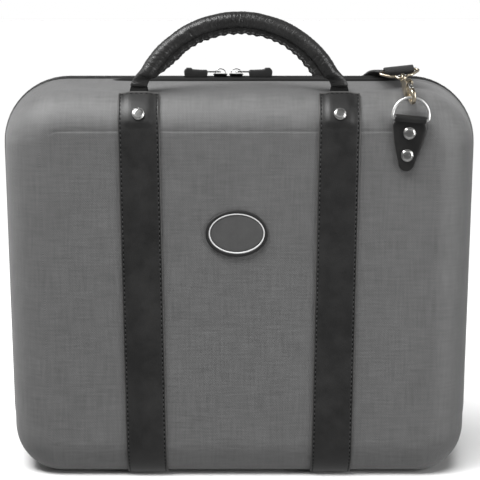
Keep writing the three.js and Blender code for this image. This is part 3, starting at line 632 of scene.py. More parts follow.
@dataclass(frozen=True)
class ShellCloth:
    """Grey polyester cloth on the moulded foam, with slubs across and along."""

    slot: str = "shell"
    tone: float = 65.0
    spread: float = 10.5
    thread: float = 0.75

    def make(self) -> bpy.types.Material:
        """Mixes the cloth.

        Returns:
            The material.
        """
        paint = Paint("shell_cloth", Sheen_Weight=0.1, Sheen_Roughness=0.5, Specular_IOR_Level=0.5)
        x, z, _ = paint.split(paint.flat())
        across = paint.grain(paint.joined(x / 20, z / 1.7), 1.0, 2.0)
        along = paint.grain(paint.joined(x / 1.7, z / 26), 1.0, 2.0)
        cloudy = paint.grain(paint.joined(x / 38, z / 30), 1.0, 3.0)
        speck = paint.grain(paint.joined(x, z), 0.9, 1.0)
        weft = (x * (pi / self.thread)).wave()
        warp = (z * (pi / self.thread)).wave()
        weave = weft * warp
        tone = across * 0.38 + along * 0.34 + cloudy * 0.16 + speck * 0.12 + weave * 0.05
        low, high = self.tone - self.spread, self.tone + self.spread
        paint.feed(
            Base_Color=paint.blend(paint.steps(tone, (0.3, 0.0), (0.7, 1.0)), grey(low), grey(high)),
            Roughness=0.46 + 0.14 * across,
        )
        paint.bumped(weave * 0.5 + across * 0.5 + along * 0.3 + cloudy * 1.5, 0.00022, 0.6)
        return paint.material


@dataclass(frozen=True)
class Leather:
    """Charcoal bonded leather with a fine grain, softer and shinier where it is handled, lighter on its worn
    points: partly worn leather, partly a painted highlight.
    """

    slot: str = "leather"
    name: str = "strap_leather"
    tone: float = 46.0
    gloss: float = 0.46
    crease: float = 0.0
    shine: float = 0.4

    def make(self) -> bpy.types.Material:
        """Mixes the leather.

        Returns:
            The material.
        """
        paint = Paint(self.name, Specular_IOR_Level=self.shine)
        where = paint.solid()
        cells = paint.pebbles(where, 1150.0)
        pores = paint.grain(where, 2600.0, 2.0)
        scuffs = paint.grain(where, 70.0, 5.0, 0.6)
        patches = paint.grain(where, 22.0, 3.0)
        worn = paint.steps(scuffs * 0.55 + patches * 0.45, (0.4, 0.0), (0.68, 1.0))
        low, high = grey(self.tone - 4, 0.006), grey(self.tone + 7, 0.012)
        # The worn attribute lightens marked edges and ends: partly worn leather, partly a painted highlight
        # where they catch the light.
        worn_edge_and_highlight = paint.node("ShaderNodeAttribute", {"attribute_name": "worn"}, out="Fac")
        edge = worn_edge_and_highlight * (0.45 + 0.75 * scuffs)
        paint.feed(
            Base_Color=paint.blend(edge, paint.blend(worn, low, high), grey(self.tone + 44, 0.02)),
            Roughness=self.gloss - 0.07 + 0.14 * scuffs + 0.15 * edge,
        )
        height = cells * 0.6 + pores * 0.35 + scuffs * 0.8
        if self.crease:
            girth, run, _ = paint.split(paint.flat())
            fine = (paint.grain(paint.joined(girth / 8, run / 2.1), 1.0, 3.0) - 0.5).size()
            broad = (paint.grain(paint.joined(girth / 13, run / 5.0), 1.0, 2.0) - 0.5).size()
            height = height + self.crease * (
                paint.steps(fine, (0.0, 0.0), (0.14, 1.0)) + 1.6 * paint.steps(broad, (0.0, 0.0), (0.12, 1.0))
            )
        paint.bumped(height, 0.00016, 0.5)
        return paint.material


@dataclass(frozen=True)
class Metal:
    """Plated metal, with a faint brushed haze and small marks."""

    slot: str = "nickel"
    name: str = "bright_nickel"
    colour: Colour = (0.64, 0.64, 0.63, 1.0)
    gloss: float = 0.2

    def make(self) -> bpy.types.Material:
        """Mixes the plating.

        Returns:
            The material.
        """
        paint = Paint(self.name, Metallic=1.0)
        where = paint.solid()
        haze = paint.grain(where, 260.0, 4.0, 0.65)
        marks = paint.steps(paint.grain(where, 900.0, 2.0), (0.62, 0.0), (0.72, 1.0))
        dull = tuple(part * 0.72 for part in self.colour[:3]) + (1.0,)
        paint.feed(
            Base_Color=paint.blend(marks * 0.5 + haze * 0.25, self.colour, dull),
            Roughness=self.gloss - 0.05 + haze * 0.16 + marks * 0.08,
        )
        paint.bumped(haze * 0.6 + marks * 0.4, 0.00005, 0.35)
        return paint.material


@dataclass(frozen=True)
class Moulded:
    """Moulded rubber or plastic with a fine spark texture."""

    slot: str = "rubber"
    name: str = "badge_rubber"
    tone: float = 40.0
    gloss: float = 0.55
    spark: float = 0.00006

    def make(self) -> bpy.types.Material:
        """Mixes the moulding.

        Returns:
            The material.
        """
        paint = Paint(self.name, Specular_IOR_Level=0.45)
        where = paint.solid()
        fine = paint.grain(where, 2400.0, 2.0)
        broad = paint.grain(where, 160.0, 3.0)
        paint.feed(
            Base_Color=paint.blend(broad, grey(self.tone - 5), grey(self.tone + 6)),
            Roughness=self.gloss - 0.06 + 0.12 * fine,
        )
        paint.bumped(fine + broad * 0.5, self.spark, 0.7)
        return paint.material


@dataclass(frozen=True)
class Woven:
    """Ribbed woven tape, webbing or elastic."""

    slot: str = "webbing"
    name: str = "strap_webbing"
    tone: float = 20.0
    rib: float = 1.5
    slant: float = 0.7
    depth: float = 0.0004
    shine: float = 0.35

    def make(self) -> bpy.types.Material:
        """Mixes the weave from the piece's own flat places.

        Returns:
            The material.
        """
        paint = Paint(self.name, Specular_IOR_Level=self.shine, Sheen_Weight=0.3 * self.shine)
        across, along, _ = paint.split(paint.flat())
        zig = (across * (pi / (self.rib * 2.4))).wave().size()
        ribs = ((along + zig * self.slant * self.rib) * (TURN / self.rib)).wave() * 0.5 + 0.5
        cords = (across * (TURN / (self.rib * 0.8))).wave() * 0.5 + 0.5
        fuzz = paint.grain(paint.joined(across, along), 2.2, 3.0)
        patches = paint.grain(paint.joined(across, along), 0.07, 2.0)
        tone = ribs * 0.4 + fuzz * 0.35 + patches * 0.25
        paint.feed(
            Base_Color=paint.blend(tone, grey(self.tone * 0.72), grey(self.tone * 1.35)),
            Roughness=0.62 + 0.2 * fuzz,
        )
        paint.bumped(ribs * 0.6 + cords * 0.35 + fuzz * 0.3, self.depth, 0.7)
        return paint.material


@dataclass(frozen=True)
class Foil:
    """Silvered film, softly creased, with painted shade along its creases."""

    slot: str = "foil"

    def make(self) -> bpy.types.Material:
        """Mixes the film.

        Returns:
            The material.
        """
        paint = Paint("liner_foil", Metallic=0.85)
        where = paint.solid()
        soft = paint.grain(where, 26.0, 4.0, 0.55)
        bent = paint.grain(where, 9.0, 2.0)
        ridges = (paint.grain(where, 34.0, 5.0, 0.6) - 0.5).size()
        fold = paint.steps(ridges + bent * 0.04, (0.0, 0.0), (0.11, 1.0))
        # The colour darkens along the crease lines: painted shade in the creases, over a random mottle.
        paint.feed(
            Base_Color=paint.blend(soft * 0.7 + fold * 0.3, grey(172, 0.01), grey(216, 0.0)),
            Roughness=0.28 + 0.22 * soft,
        )
        paint.bumped(fold * 0.6 + soft * 1.2, 0.0009, 0.7)
        return paint.material


@dataclass(frozen=True)
class Foam:
    """Closed-cell foam with fine open pores on its cut edge."""

    slot: str = "foam"
    name: str = "cut_foam"
    tone: float = 208.0

    def make(self) -> bpy.types.Material:
        """Mixes the foam.

        Returns:
            The material.
        """
        paint = Paint(self.name, Specular_IOR_Level=0.2)
        where = paint.solid()
        cells = paint.pebbles(where, 900.0)
        cloud = paint.grain(where, 40.0, 3.0)
        low, high = grey(self.tone - 22, 0.02), grey(self.tone + 8, 0.03)
        paint.feed(Base_Color=paint.blend(cells * 0.5 + cloud * 0.5, low, high), Roughness=0.86 + 0.1 * cells)
        paint.bumped(cells, 0.0004, 0.6)
        return paint.material


@dataclass(frozen=True)
class Thread:
    """Twisted sewing thread."""

    slot: str = "leather"
    name: str = "dark_thread"
    tone: float = 7.0

    def make(self) -> bpy.types.Material:
        """Mixes the thread.

        Returns:
            The material.
        """
        paint = Paint(self.name, Specular_IOR_Level=0.15)
        fine = paint.grain(paint.solid(), 1800.0, 2.0)
        paint.feed(
            Base_Color=paint.blend(fine, grey(self.tone * 0.8), grey(self.tone * 1.3)),
            Roughness=0.5 + 0.2 * fine,
        )
        paint.bumped(fine, 0.00012, 0.5)
        return paint.material


@dataclass(frozen=True)
class StudioWhite:
    """Plain pale floor paint."""

    slot: str = ""

    def make(self) -> bpy.types.Material:
        """Mixes the floor.

        Returns:
            The material.
        """
        paint = Paint("studio_floor", Roughness=0.9, Specular_IOR_Level=0.1)
        cloud = paint.grain(paint.solid(), 0.7, 2.0)
        paint.feed(Base_Color=paint.blend(cloud, grey(178), grey(184)))
        return paint.material


class Look(Enum):
    """Every finish of the bag."""

    CLOTH = ShellCloth()
    LEATHER = Leather(tone=22.5, gloss=0.44)
    GRIP = Leather(name="grip_leather", tone=25.0, gloss=0.36, crease=1.5)
    # A darker copy of the strap leather for the handle's foot tab: painted shade where the tab faces forward
    # and down.
    FOOT = Leather(name="foot_leather", tone=9.0, gloss=0.65, shine=0.12)
    TAB = Leather(name="tab_leather", tone=20.0, gloss=0.33)
    NICKEL = Metal()
    RING = Metal("nickel", "ring_nickel", (0.82, 0.82, 0.81, 1.0), 0.38)
    PLATE = Metal("nickel", "dark_plate", (0.09, 0.09, 0.09, 1.0), 0.34)
    CHAMPAGNE = Metal("champagne", "champagne_plate", (0.56, 0.49, 0.38, 1.0), 0.27)
    BADGE = Moulded(tone=18.0)
    FIELD = Moulded(name="badge_field", tone=52.0, gloss=0.6, spark=0.0001)
    RIM = Moulded(name="badge_bead", tone=158.0, gloss=0.5)
    PULL = Moulded("pull", "puller_rubber", 20.0, 0.5, 0.00012)
    COIL = Moulded("coil", "coil_nylon", 14.0, 0.42)
    TAPE = Woven("tape", "zip_tape", 17.0, 1.1, 0.9, 0.0002, 0.08)
    ELASTIC = Woven("elastic", "elastic_band", 26.0, 1.0, 0.0, 0.0004)
    WEBBING = Woven()
    DIVIDER = Woven("divider", "divider_cloth", 44.0, 1.4, 0.0, 0.00025)
    FOIL = Foil()
    FOAM = Foam()
    CORD = Foam("cord", "core_cord", 140.0)
    # Near-black: dark thread on the stitches across the strap tops, and painted shade in the strap's needle
    # holes.
    THREAD = Thread(tone=4.0)
    # Lighter than the strap leather: a painted highlight on the thread between the needle holes.
    STRAP_THREAD = Thread("leather", "strap_thread", 44.0)
    TAPE_THREAD = Thread("tape", "tape_thread", 28.0)
    WEB_THREAD = Thread("webbing", "web_thread", 14.0)
    PALE_THREAD = Thread("leather", "pale_thread", 70.0)
    FLOOR = StudioWhite()


class Bench:
    """Turns forms into pieces of the scene, each with its finish and its body."""

    def __init__(self) -> None:
        """Mixes every finish once."""
        self.paints = {look: look.value.make() for look in Look}
        self.count = 0

    def put(
        self,
        form: Form,
        name: str,
        look: Look,
        body: str,
        stands_for: Sequence[str] = (),
        sharp: float = SHARP,
    ) -> bpy.types.Object:
        """Makes one piece.

        Args:
            form: Its shape.
            name: Its name.
            look: Its finish.
            body: The CAD body that it rides on.
            stands_for: The CAD nodes that it takes the place of.
            sharp: Edges that turn by more degrees than this stay sharp.

        Returns:
            The piece.
        """
        made = bpy.data.objects.new(name, form.mesh(name, sharp))
        bpy.context.scene.collection.objects.link(made)
        made.data.materials.append(self.paints[look])
        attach(made, body)
        if stands_for:
            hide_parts(*stands_for)
        self.count += 1
        LOG.info("%s: %d faces, rides on %s", name, len(made.data.polygons), body)
        return made

    def stage(self, form: Form, name: str, look: Look) -> None:
        """Makes a piece of the studio.

        Args:
            form: Its shape.
            name: Its name.
            look: Its finish.
        """
        made = bpy.data.objects.new(name, form.mesh(name, SHARP))
        bpy.context.scene.collection.objects.link(made)
        made.data.materials.append(self.paints[look])
        made.visible_glossy = False


# ---- the shell's shape


@dataclass(frozen=True)
class ShellShape:
    """The moulded half's outer shape, and the levels below it."""

    width_top: float = 412.0
    width_bottom: float = 399.0
    height: float = 335.0
    depth: float = 88.0
    roll: float = 30.0
    draft: float = radians(8)
    top_corner: float = 57.0
    bottom_corner: float = 44.0
    least_corner: float = 6.0
    corner_steps: int = 14
    strap_top_x: float = 83.3
    strap_bottom_x: float = 77.6

    @property
    def lean(self) -> float:
        """How far a side leans out for each unit of height."""
        return (self.width_top - self.width_bottom) / 2 / self.height

    def half_width(self, z: float) -> float:
        """Half of the width at the rim."""
        return self.width_bottom / 2 + self.lean * z

    def strap_x(self, z: float) -> float:
        """How far a face strap's middle is from the bag's middle."""
        return mix(self.strap_bottom_x, self.strap_top_x, z / self.height)

    def insets(self, level: float, depth: float) -> Place:
        """How far a skin lies inside the rim.

        Args:
            level: Depth below the outer skin.
            depth: Distance from the parting plane.

        Returns:
            The inset at the base, and at the sides and top.
        """
        radius = self.roll - level
        sunk = min(radius, max(0.0, depth - (self.depth - self.roll)))
        roll = radius - sqrt(max(0.0, radius**2 - sunk**2))
        return level + roll, level + roll + depth * tan(self.draft)

    def outline(self, level: float, depth: float, inward: float = 0.0) -> list[tuple[float, float, float]]:
        """One skin's rounded outline, from the lower right corner round to the lower left one.

        Args:
            level: Depth below the outer skin.
            depth: Distance from the parting plane.
            inward: A further inset, used on the flat face.

        Returns:
            X, Z and the outward direction's angle of each point.
        """
        base, side = (inset + inward for inset in self.insets(level, depth))
        tilt = atan(self.lean)
        low = max(self.least_corner, self.bottom_corner - (side + base) / 2)
        high = max(self.least_corner, self.top_corner - side)
        right = []
        for radius, z, start, end in (
            (low, base + low, -QUARTER, -tilt),
            (high, self.height - side - high, -tilt, QUARTER),
        ):
            x = self.half_width(z) - (side + radius) / cos(tilt)
            for a in spread(start, end, self.corner_steps):
                right.append((x + radius * cos(a), z + radius * sin(a), a))
        left = [(-x, z, pi - a) for x, z, a in reversed(right)]
        return right + left

    def ring(self, level: float, depth: float, inward: float = 0.0) -> Ring:
        """One skin's outline as points, never below the floor."""
        return [Vector((x, -depth, max(0.0, z))) for x, z, _ in self.outline(level, depth, inward)]

    def roll_depth(self, level: float, angle: float) -> float:
        """Distance from the parting plane at an angle of the roll, 90 degrees being the face."""
        return self.depth - self.roll + (self.roll - level) * sin(angle)

    def roll_point(self, end: End, level: float, angle: float) -> Vector:
        """A point of the skin over the top roll or under the bottom one, at x = 0.

        Args:
            end: Which roll.
            level: Depth below the outer skin.
            angle: The roll's angle.

        Returns:
            The point.
        """
        depth = self.roll_depth(level, angle)
        base, side = self.insets(level, depth)
        return Vector((0, -depth, self.height - side if end is End.TOP else base))

    def band_spot(self, end: End, angle: float) -> Spot:
        """Skin point, outward direction and angle for a band over a roll.

        Args:
            end: Which roll.
            angle: The roll's angle.

        Returns:
            The spot.
        """
        point = self.roll_point(end, 0, angle)
        out = (self.roll_point(end, -1, angle) - point).normalized()
        return point, out, Vector((angle, 0, 0))

    def rivet_spot(self, lift: float, angle: float) -> tuple[Vector, Vector]:
        """Where a rivet's cap sits on the top roll, and its outward direction.

        Args:
            lift: How far the cap stands off the skin.
            angle: The roll's angle.

        Returns:
            The place and the direction.
        """
        here, near = (self.roll_point(End.TOP, 0, a) for a in (angle, angle + radians(1)))
        step = near - here
        out = Vector((0, step.z, -step.y)).normalized()
        point = here + out * lift
        point.x = self.strap_x(point.z)
        return point, out

    def skin(self, level: float, face_insets: Sequence[float], roll_steps: int) -> list[Ring]:
        """Rings from the middle of the face out over the roll to where the wall starts.

        Args:
            level: Depth below the outer skin.
            face_insets: The face's rings, as insets from its edge.
            roll_steps: Steps over the roll.

        Returns:
            The rings.
        """
        face = [self.ring(level, self.depth - level, inward) for inward in face_insets]
        rolls = [self.ring(level, self.roll_depth(level, a)) for a in spread(QUARTER, 0, roll_steps)]
        return face + rolls

    def cloth_places(self, rings: Sequence[Ring]) -> list[list[Place]]:
        """Flat places of a skin as cloth laid on its face and pulled over its rolls.

        Args:
            rings: The skin's rings, the face's middle first.

        Returns:
            A flat place for each point.
        """
        edge = self.outline(0, self.depth)
        run = [0.0] * len(edge)
        made: list[list[Place]] = []
        for i, ring in enumerate(rings):
            row = []
            for j, point in enumerate(ring):
                x, z, a = edge[j]
                flat = abs(x - point.x) < 0.5 and abs(z - point.z) < 0.5
                if i and (run[j] or not flat) and abs(point.y) < self.depth - 0.05:
                    run[j] += (point - rings[i - 1][j]).length
                    row.append((x + cos(a) * run[j], z + sin(a) * run[j]))
                else:
                    row.append((point.x, point.z))
            made.append(row)
        return made


SHAPE = ShellShape()


# ---- one half


@dataclass
class HalfPart:
    """What both halves of the bag have, built as the front half's and turned to its own."""

    side: Side

    @property
    def body(self) -> str:
        """The CAD body that the pieces ride on."""
        return self.side.body

    def put(
        self,
        bench: Bench,
        form: Form,
        name: str,
        look: Look,
        node: str = "",
        sharp: float = SHARP,
    ) -> bpy.types.Object:
        """Makes one piece of this half.

        Args:
            bench: Where pieces are made.
            form: Its shape, as the front half's.
            name: Its name, without the half's.
            look: Its finish.
            node: The half's CAD node that it takes the place of, if any.
            sharp: Edges that turn by more degrees than this stay sharp.

        Returns:
            The piece.
        """
        half = self.side.value
        nodes = [f"{half}_{node}"] if node else []
        return bench.put(form.moved(self.side.turn), f"{half}_{name}", look, self.body, nodes, sharp)


@dataclass
class Shell(HalfPart):
    """Moulded half shell with its layers: insulation, liner, dividers and bottle band."""

    wall: float = 4.0
    seat_step: float = 1.8
    seat_width: float = 16.0
    groove: float = 0.4
    bead: float = 0.1
    swell: float = 1.15
    swelling: Place = (88.0, 128.0)
    foam_level: float = 4.3
    foam_wall: float = 6.0
    liner_level: float = 10.6
    liner_wall: float = 1.0
    bay_level: float = 11.9
    layer_edge: float = 2.2
    divider_wall: float = 8.0
    divider_edge: float = 12.0
    bay_pitch: float = 92.0
    band_wall: float = 1.2
    band_low: float = 130.0
    band_high: float = 170.0

    def cloth(self) -> Form:
        """The cloth-covered shell, with the pressed line round its face and a bead at its rim.

        Returns:
            The form.
        """
        deep, full = SHAPE.roll_depth, SHAPE.depth
        rings = [SHAPE.ring(0, full, inward) for inward in (60, 20, 6, 2.2, 1.5)]
        for share, inward in ((0.1, 0.35), (0.45, -0.1), (0.85, -0.5), (1.0, -0.9), (0.85, -1.5)):
            line = SHAPE.ring(0, full, inward)
            for point, (_, _, a) in zip(line, SHAPE.outline(0, full)):
                point.y += share * self.groove * (0.1 + 0.9 * max(0.0, sin(a)) ** 14)
            rings.append(line)
        rings.append(SHAPE.ring(0.08, deep(0.08, radians(84))))
        rings += [SHAPE.ring(0, deep(0, radians(a))) for a in (80.5, 75, *range(70, -1, -7))]
        rings += [SHAPE.ring(0, depth) for depth in (46, 32, 21.5, 19.6)]
        lip = self.seat_width
        for share, past in ((0.35, 2.4), (0.8, 1.6), (1.0, 0.9), (0.75, 0.3)):
            flat, swollen = (SHAPE.ring(-share * rise, lip + past) for rise in (self.bead, self.swell))
            for (_, _, a), point, raised in zip(SHAPE.outline(0, full), flat, swollen):
                point += (raised - point) * eased(abs(point.x), *self.swelling) * max(0.0, sin(a))
            rings.append(flat)
        rings += [
            SHAPE.ring(level, depth)
            for level, depth in (
                (0.1, lip - 0.1), (self.seat_step, lip - 0.1), (self.seat_step, 1.3), (2.2, 0.8), (3.6, 0.8),
                (self.wall, 1.2), (self.wall, 30),
            )
        ]
        rings += list(reversed(SHAPE.skin(self.wall, (60, 10), 8)))
        return Form().loft(rings, places=SHAPE.cloth_places(rings))

    def layer(self, level: float, wall: float, swell: float = 0.0) -> Form:
        """An open tray inside the shell.

        Args:
            level: Depth of its outer skin below the shell's.
            wall: Its thickness.
            swell: How far its inner skin ripples.

        Returns:
            The tray.
        """
        half, edge = wall / 2, self.layer_edge
        outer = SHAPE.skin(level, (60, 10), 10)
        inner = list(reversed(SHAPE.skin(level + wall, (70, 45, 20, 5), 10)))
        lip = [
            SHAPE.ring(level + half - half * cos(a), edge + half - half * sin(a))
            for a in spread(0, pi, 6)
        ]
        if swell:
            for ring in inner:
                for point in ring:
                    middle = Vector((0, -40, 165))
                    push = swell * noise.noise(point * 0.045)
                    point += (middle - point).normalized() * push
        return Form().loft([*outer, *lip, *inner])

    def divider(self, x: float) -> Form:
        """A padded wall between two bottles, with a rounded nose.

        Args:
            x: Where its middle is.

        Returns:
            The form.
        """
        angles = spread(QUARTER, 0, 12)
        half = self.divider_wall / 2
        rings = []
        for turn in spread(-QUARTER, QUARTER, 10):
            across = half * sin(turn)
            nose = self.divider_edge + (half - half * cos(turn)) * 0.8
            tuck = 0.6 * (1 - cos(turn))
            level = self.bay_level + tuck
            lows = [SHAPE.roll_point(End.BOTTOM, level, a) for a in angles]
            highs = [SHAPE.roll_point(End.TOP, level, a) for a in reversed(angles)]
            base, side = SHAPE.insets(level, nose)
            rims = [Vector((0, -nose, base)), Vector((0, -nose, SHAPE.height - side))]
            rings.append([point + Vector((x + across, 0, 0)) for point in [*lows, *rims, *highs]])
        places = [[(p.y, p.z) for p in ring] for ring in rings]
        return Form().loft(rings, places=places)

    def bottle_band(self) -> Form:
        """A flat elastic across the bays, gathered a little between the dividers.

        Returns:
            The form.
        """
        depth = self.divider_edge - 0.3
        side = SHAPE.insets(self.bay_level, depth)[1]
        reach = SHAPE.half_width(self.band_low) - side - 0.4
        rings = []
        for x in spread(-reach, reach, 96):
            ripple = 0.35 * sin(x * 0.55) + 0.25 * sin(x * 1.31)
            held = min(1.0, min(abs(x - m) for m in (-self.bay_pitch, 0, self.bay_pitch)) / 12)
            sag = 0.5 * held * sin(x * 0.9)
            half = ((self.band_high - self.band_low) / 2 - 0.4, self.band_wall / 2)
            middle = Vector((x, -depth + half[1], (self.band_high + self.band_low) / 2))
            rings.append([
                middle + Vector((0, v, u + (ripple if u > 0 else sag)))
                for u, v in pillow(half, 0.55, 2)
            ])
        return Form().loft(rings)

    def band_tacks(self) -> Form:
        """Bar tacks that hold the elastic to the dividers.

        Returns:
            The stitches.
        """
        out, along = Y, X
        spots = [
            (Vector((x, 1.45 - self.divider_edge, z)), out, along)
            for x in (-self.bay_pitch, 0.0, self.bay_pitch)
            for z in spread(self.band_low + 3, self.band_high - 3, 16)
        ]
        return stitches(spots, 4.6, 0.9, 0.25)

    def build(self, bench: Bench) -> None:
        """Puts the half's shell and layers in the scene.

        Args:
            bench: Where pieces are made.
        """
        self.put(bench, self.cloth(), "shell_cloth", Look.CLOTH, "shell", 50)
        foam = self.layer(self.foam_level, self.foam_wall)
        tray = self.put(bench, foam, "foam_tray", Look.FOAM, "insulation")
        film = self.layer(self.liner_level, self.liner_wall, 0.25)
        self.put(bench, film, "foil_liner", Look.FOIL, "liner")
        for i in (1, 2, 3):
            wall = self.divider((i - 2) * self.bay_pitch)
            pad = self.put(bench, wall, f"bottle_divider_{i}", Look.DIVIDER, f"divider_{i}", 60)
        self.put(bench, self.bottle_band(), "elastic_band", Look.ELASTIC, "bottle_band")
        self.put(bench, self.band_tacks(), "band_tacks", Look.TAPE_THREAD)


@dataclass
class Zip(HalfPart):
    """One half's tape and coil, sewn into the rim's step."""

    tape_level: float = 0.2
    tape_wall: float = 1.3
    near: float = 2.9
    far: float = 15.7
    lap: float = 22.2
    lap_right: Place = (124.0, 148.0)
    lap_left: Place = (88.0, 128.0)
    pitch: float = 2.0
    tooth: float = 1.35
    first: int = 4

    def station(self, level: float, depth: float) -> Ring:
        """The rim's outline between the two lower corners, with points along its straight top.

        Args:
            level: Depth below the outer skin.
            depth: Distance from the parting plane.

        Returns:
            The line's points.
        """
        line = SHAPE.ring(level, depth)[self.first:-self.first]
        half = len(line) // 2
        top = [line[half - 1].lerp(line[half], share) for share in spread(0, 1, 26)]
        return [*line[:half - 1], *top, *line[half + 1:]]

    def strip(self, corners: Sequence[Place]) -> Form:
        """A band along the rim from [level, depth] corners of its section."""
        lines = [self.station(level, depth) for level, depth in corners]
        return Form().loft([[line[i] for line in lines] for i in range(len(lines[0]))])

    def tape(self) -> Form:
        """The woven tape, its outer edge rolled over the cloth along the middle of the top.

        Returns:
            The form.
        """
        low, high = self.tape_level, self.tape_level + self.tape_wall
        inner = [
            (low + 0.25, self.near), (low, self.near + 0.5), (low + 0.1, 6.0), (low + 0.06, 11.0),
            (low + 0.12, self.far - 2.6),
        ]
        lapped = [
            (low - 0.1, self.far - 0.9), (-1.1, self.far + 0.2), (-1.65, self.far + 1.4),
            (-1.75, self.far + 3.2), (-1.6, self.lap - 1.4), (-1.1, self.lap - 0.4), (-0.3, self.lap),
            (-0.1, self.lap - 0.3), (-0.1, self.lap - 1.6), (-1.2, self.far + 2.9), (-1.2, self.far + 1.3),
        ]
        tucked = [
            (low, self.far - 0.9), (low + 0.03, self.far - 0.6), (low + 0.06, self.far - 0.3),
            (low + 0.08, self.far - 0.15), (low + 0.1, self.far - 0.1),
            *((low + sunk, self.far) for sunk in (0.2, 0.25, 0.3, 0.35, 0.4, 0.45)),
        ]
        edge = [(low + 0.5, self.far), (high, self.far), (high, self.near)]
        form, plain = (self.strip([*inner, *outer, *edge]) for outer in (lapped, tucked))
        right = 1 if self.side is Side.FRONT else -1
        for point, other in zip(form.points, plain.points):
            ends = self.lap_right if point.x * right > 0 else self.lap_left
            point += (other - point) * eased(abs(point.x), *ends)
        return form

    def seam(self) -> Form:
        """The seam that holds the tape, near its outer edge.

        Returns:
            The stitches.
        """
        inner, outer = self.station(self.tape_level + 0.1, self.far - 2.6), self.station(-0.8, self.far - 2.6)
        spots = [(a, (b - a).normalized(), Vector()) for a, b in zip(inner, outer)]
        spots = [(a, out if out.length else Z, c) for a, out, c in spots]
        return stitches(paced(spots, 3.2, 2.0), 2.4, 0.7, 0.22)

    def coil(self) -> Form:
        """The coil's turns, each a rounded bar bent over the tape's edge, on their cord.

        Returns:
            The form.
        """
        bar = (
            (-1.2, -0.05, 0.45), (-1.1, 0.15, 0.85), (-0.7, 0.32, 1.0),
            (0.1, 0.4, 1.0), (0.9, 0.25, 0.9), (1.2, 0.0, 0.6),
        )
        cord = self.strip([(0.1, 0.9), (-0.2, 1.4), (-0.2, 2.2), (0.2, 2.6), (1.3, 2.6), (1.3, 0.9)])
        inner, outer = self.station(0.0, 1.4), self.station(-1.0, 1.4)
        spots = [(a, b - a, Vector()) for a, b in zip(inner, outer)]
        shift = 0.0 if self.side is Side.FRONT else self.pitch / 2
        for middle, out, along in paced(spots, self.pitch, 1.0 + shift):
            across = -Y
            rings = []
            for reach, rise, size in bar:
                rings.append([
                    middle + across * reach + out * (rise + 0.62 * size * sin(a))
                    + along * (self.tooth / 2 * size * cos(a))
                    for a in around(6)
                ])
            cord.loft(rings)
        return cord

    def build(self, bench: Bench) -> None:
        """Puts the half's zip in the scene.

        Args:
            bench: Where pieces are made.
        """
        self.put(bench, self.tape(), "zip_band", Look.TAPE, "zip_tape", 60)
        self.put(bench, self.seam(), "zip_seam", Look.TAPE_THREAD)
        self.put(bench, self.coil(), "zip_teeth", Look.COIL, "zip_coil", 60)


@dataclass
class BottomHinge:
    """The fabric hinge along the bottom, one strip between the halves."""

    reach: float = 148.0
    edge: float = 15.7
    wall: float = 1.5

    def strip(self) -> Form:
        """The strip, with columns close together along its middle, where the halves meet.

        Returns:
            The form.
        """
        depths = [*spread(-self.edge, -4, 6), *spread(-3, 3, 24), *spread(4, self.edge, 6)]
        rings = []
        for x in spread(-self.reach, self.reach, 40):
            low = [Vector((x, y, 0.0)) for y in depths]
            high = [Vector((x, y, self.wall)) for y in reversed(depths)]
            low[0].z = low[-1].z = 0.35
            rings.append(low + high)
        return Form().loft(rings)

    def seams(self, y: float) -> Form:
        """A row of stitches along one edge of the strip.

        Args:
            y: The row's distance from the parting plane.

        Returns:
            The stitches.
        """
        ends = (4 - self.reach, self.reach - 4)
        spots = [(Vector((x, y, 0.12)), -Z, Vector()) for x in ends]
        return stitches(paced(spots, 3.4), 2.5, 0.7, 0.2)

    def build(self, bench: Bench) -> None:
        """Puts the hinge in the scene.

        Args:
            bench: Where pieces are made.
        """
        leaves = ["front_hinge_leaf", "rear_hinge_leaf"]
        made = bench.put(self.strip(), "bottom_hinge", Look.TAPE, "root", leaves, 60)
        made.parent = None  # taken off its ride and baked where it stands
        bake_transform(made)
        bench.put(self.seams(-12.5), "front_hinge_seam", Look.TAPE_THREAD, "front")
        bench.put(self.seams(12.5), "rear_hinge_seam", Look.TAPE_THREAD, "root")


# ---- leather


@dataclass(frozen=True)
class Cut:
    """How a strip of leather is cut: its width, thickness and edges."""

    width: float
    wall: float

    @staticmethod
    def worn(rings: int) -> Callable[[int, int], float]:
        """How worn a strip of so many rings is: most at its edges and ends, which the leather paints lighter,
        partly worn and partly as a painted highlight.

        Args:
            rings: How many sections the strip has.

        Returns:
            The worn share of a point, with its painted highlight, from its section's and its own number.
        """
        last = 28

        def at(i: int, j: int) -> float:
            """The worn share of a point, with its painted highlight.

            Args:
                i: The section's number.
                j: The point's number in it.

            Returns:
                Its worn share, with its painted highlight.
            """
            # End rings and edge points are painted lighter: worn leather there, and a painted highlight on the
            # strap's top end and edges where they catch the light.
            end = 0.9 if i in (0, rings - 1) else 0.35 if i in (1, rings - 2) else 0.0
            edge = (1.0, 0.9, 0.35)[min(j, last - j)] if j < 3 or last - 3 < j <= last else 0.0
            return max(end, edge)
        return at

    def ring(self, middle: Vector, side: Vector, out: Vector, lift: Callable[[float], float]) -> Ring:
        """One section across a strip.

        Args:
            middle: The skin under the strip's middle.
            side: The direction across it.
            out: The direction away from the skin.
            lift: How high the strip's back lies, from its share of the half width.

        Returns:
            The section's points.
        """
        half = self.width / 2
        right = [
            (1.0, 0.4), (0.987, 0.76), (0.965, 0.94), (0.94, 1.0), (0.91, 0.98), (0.88, 0.84), (0.85, 0.98),
            (0.8, 1.0), (0.72, 1.0), (0.64, 1.0), (0.58, 1.0), (0.52, 1.0), (0.46, 1.0), (0.3, 1.0),
        ]
        top = right + [(0.0, 1.0)] + [(-u, t) for u, t in reversed(right)]
        back = [(-0.97, 0.0), (-0.66, 0.0), (-0.5, 0.0), (0.0, 0.0), (0.5, 0.0), (0.66, 0.0), (0.97, 0.0)]
        return [middle + side * (half * u) + out * (lift(u) + self.wall * t) for u, t in top + back]


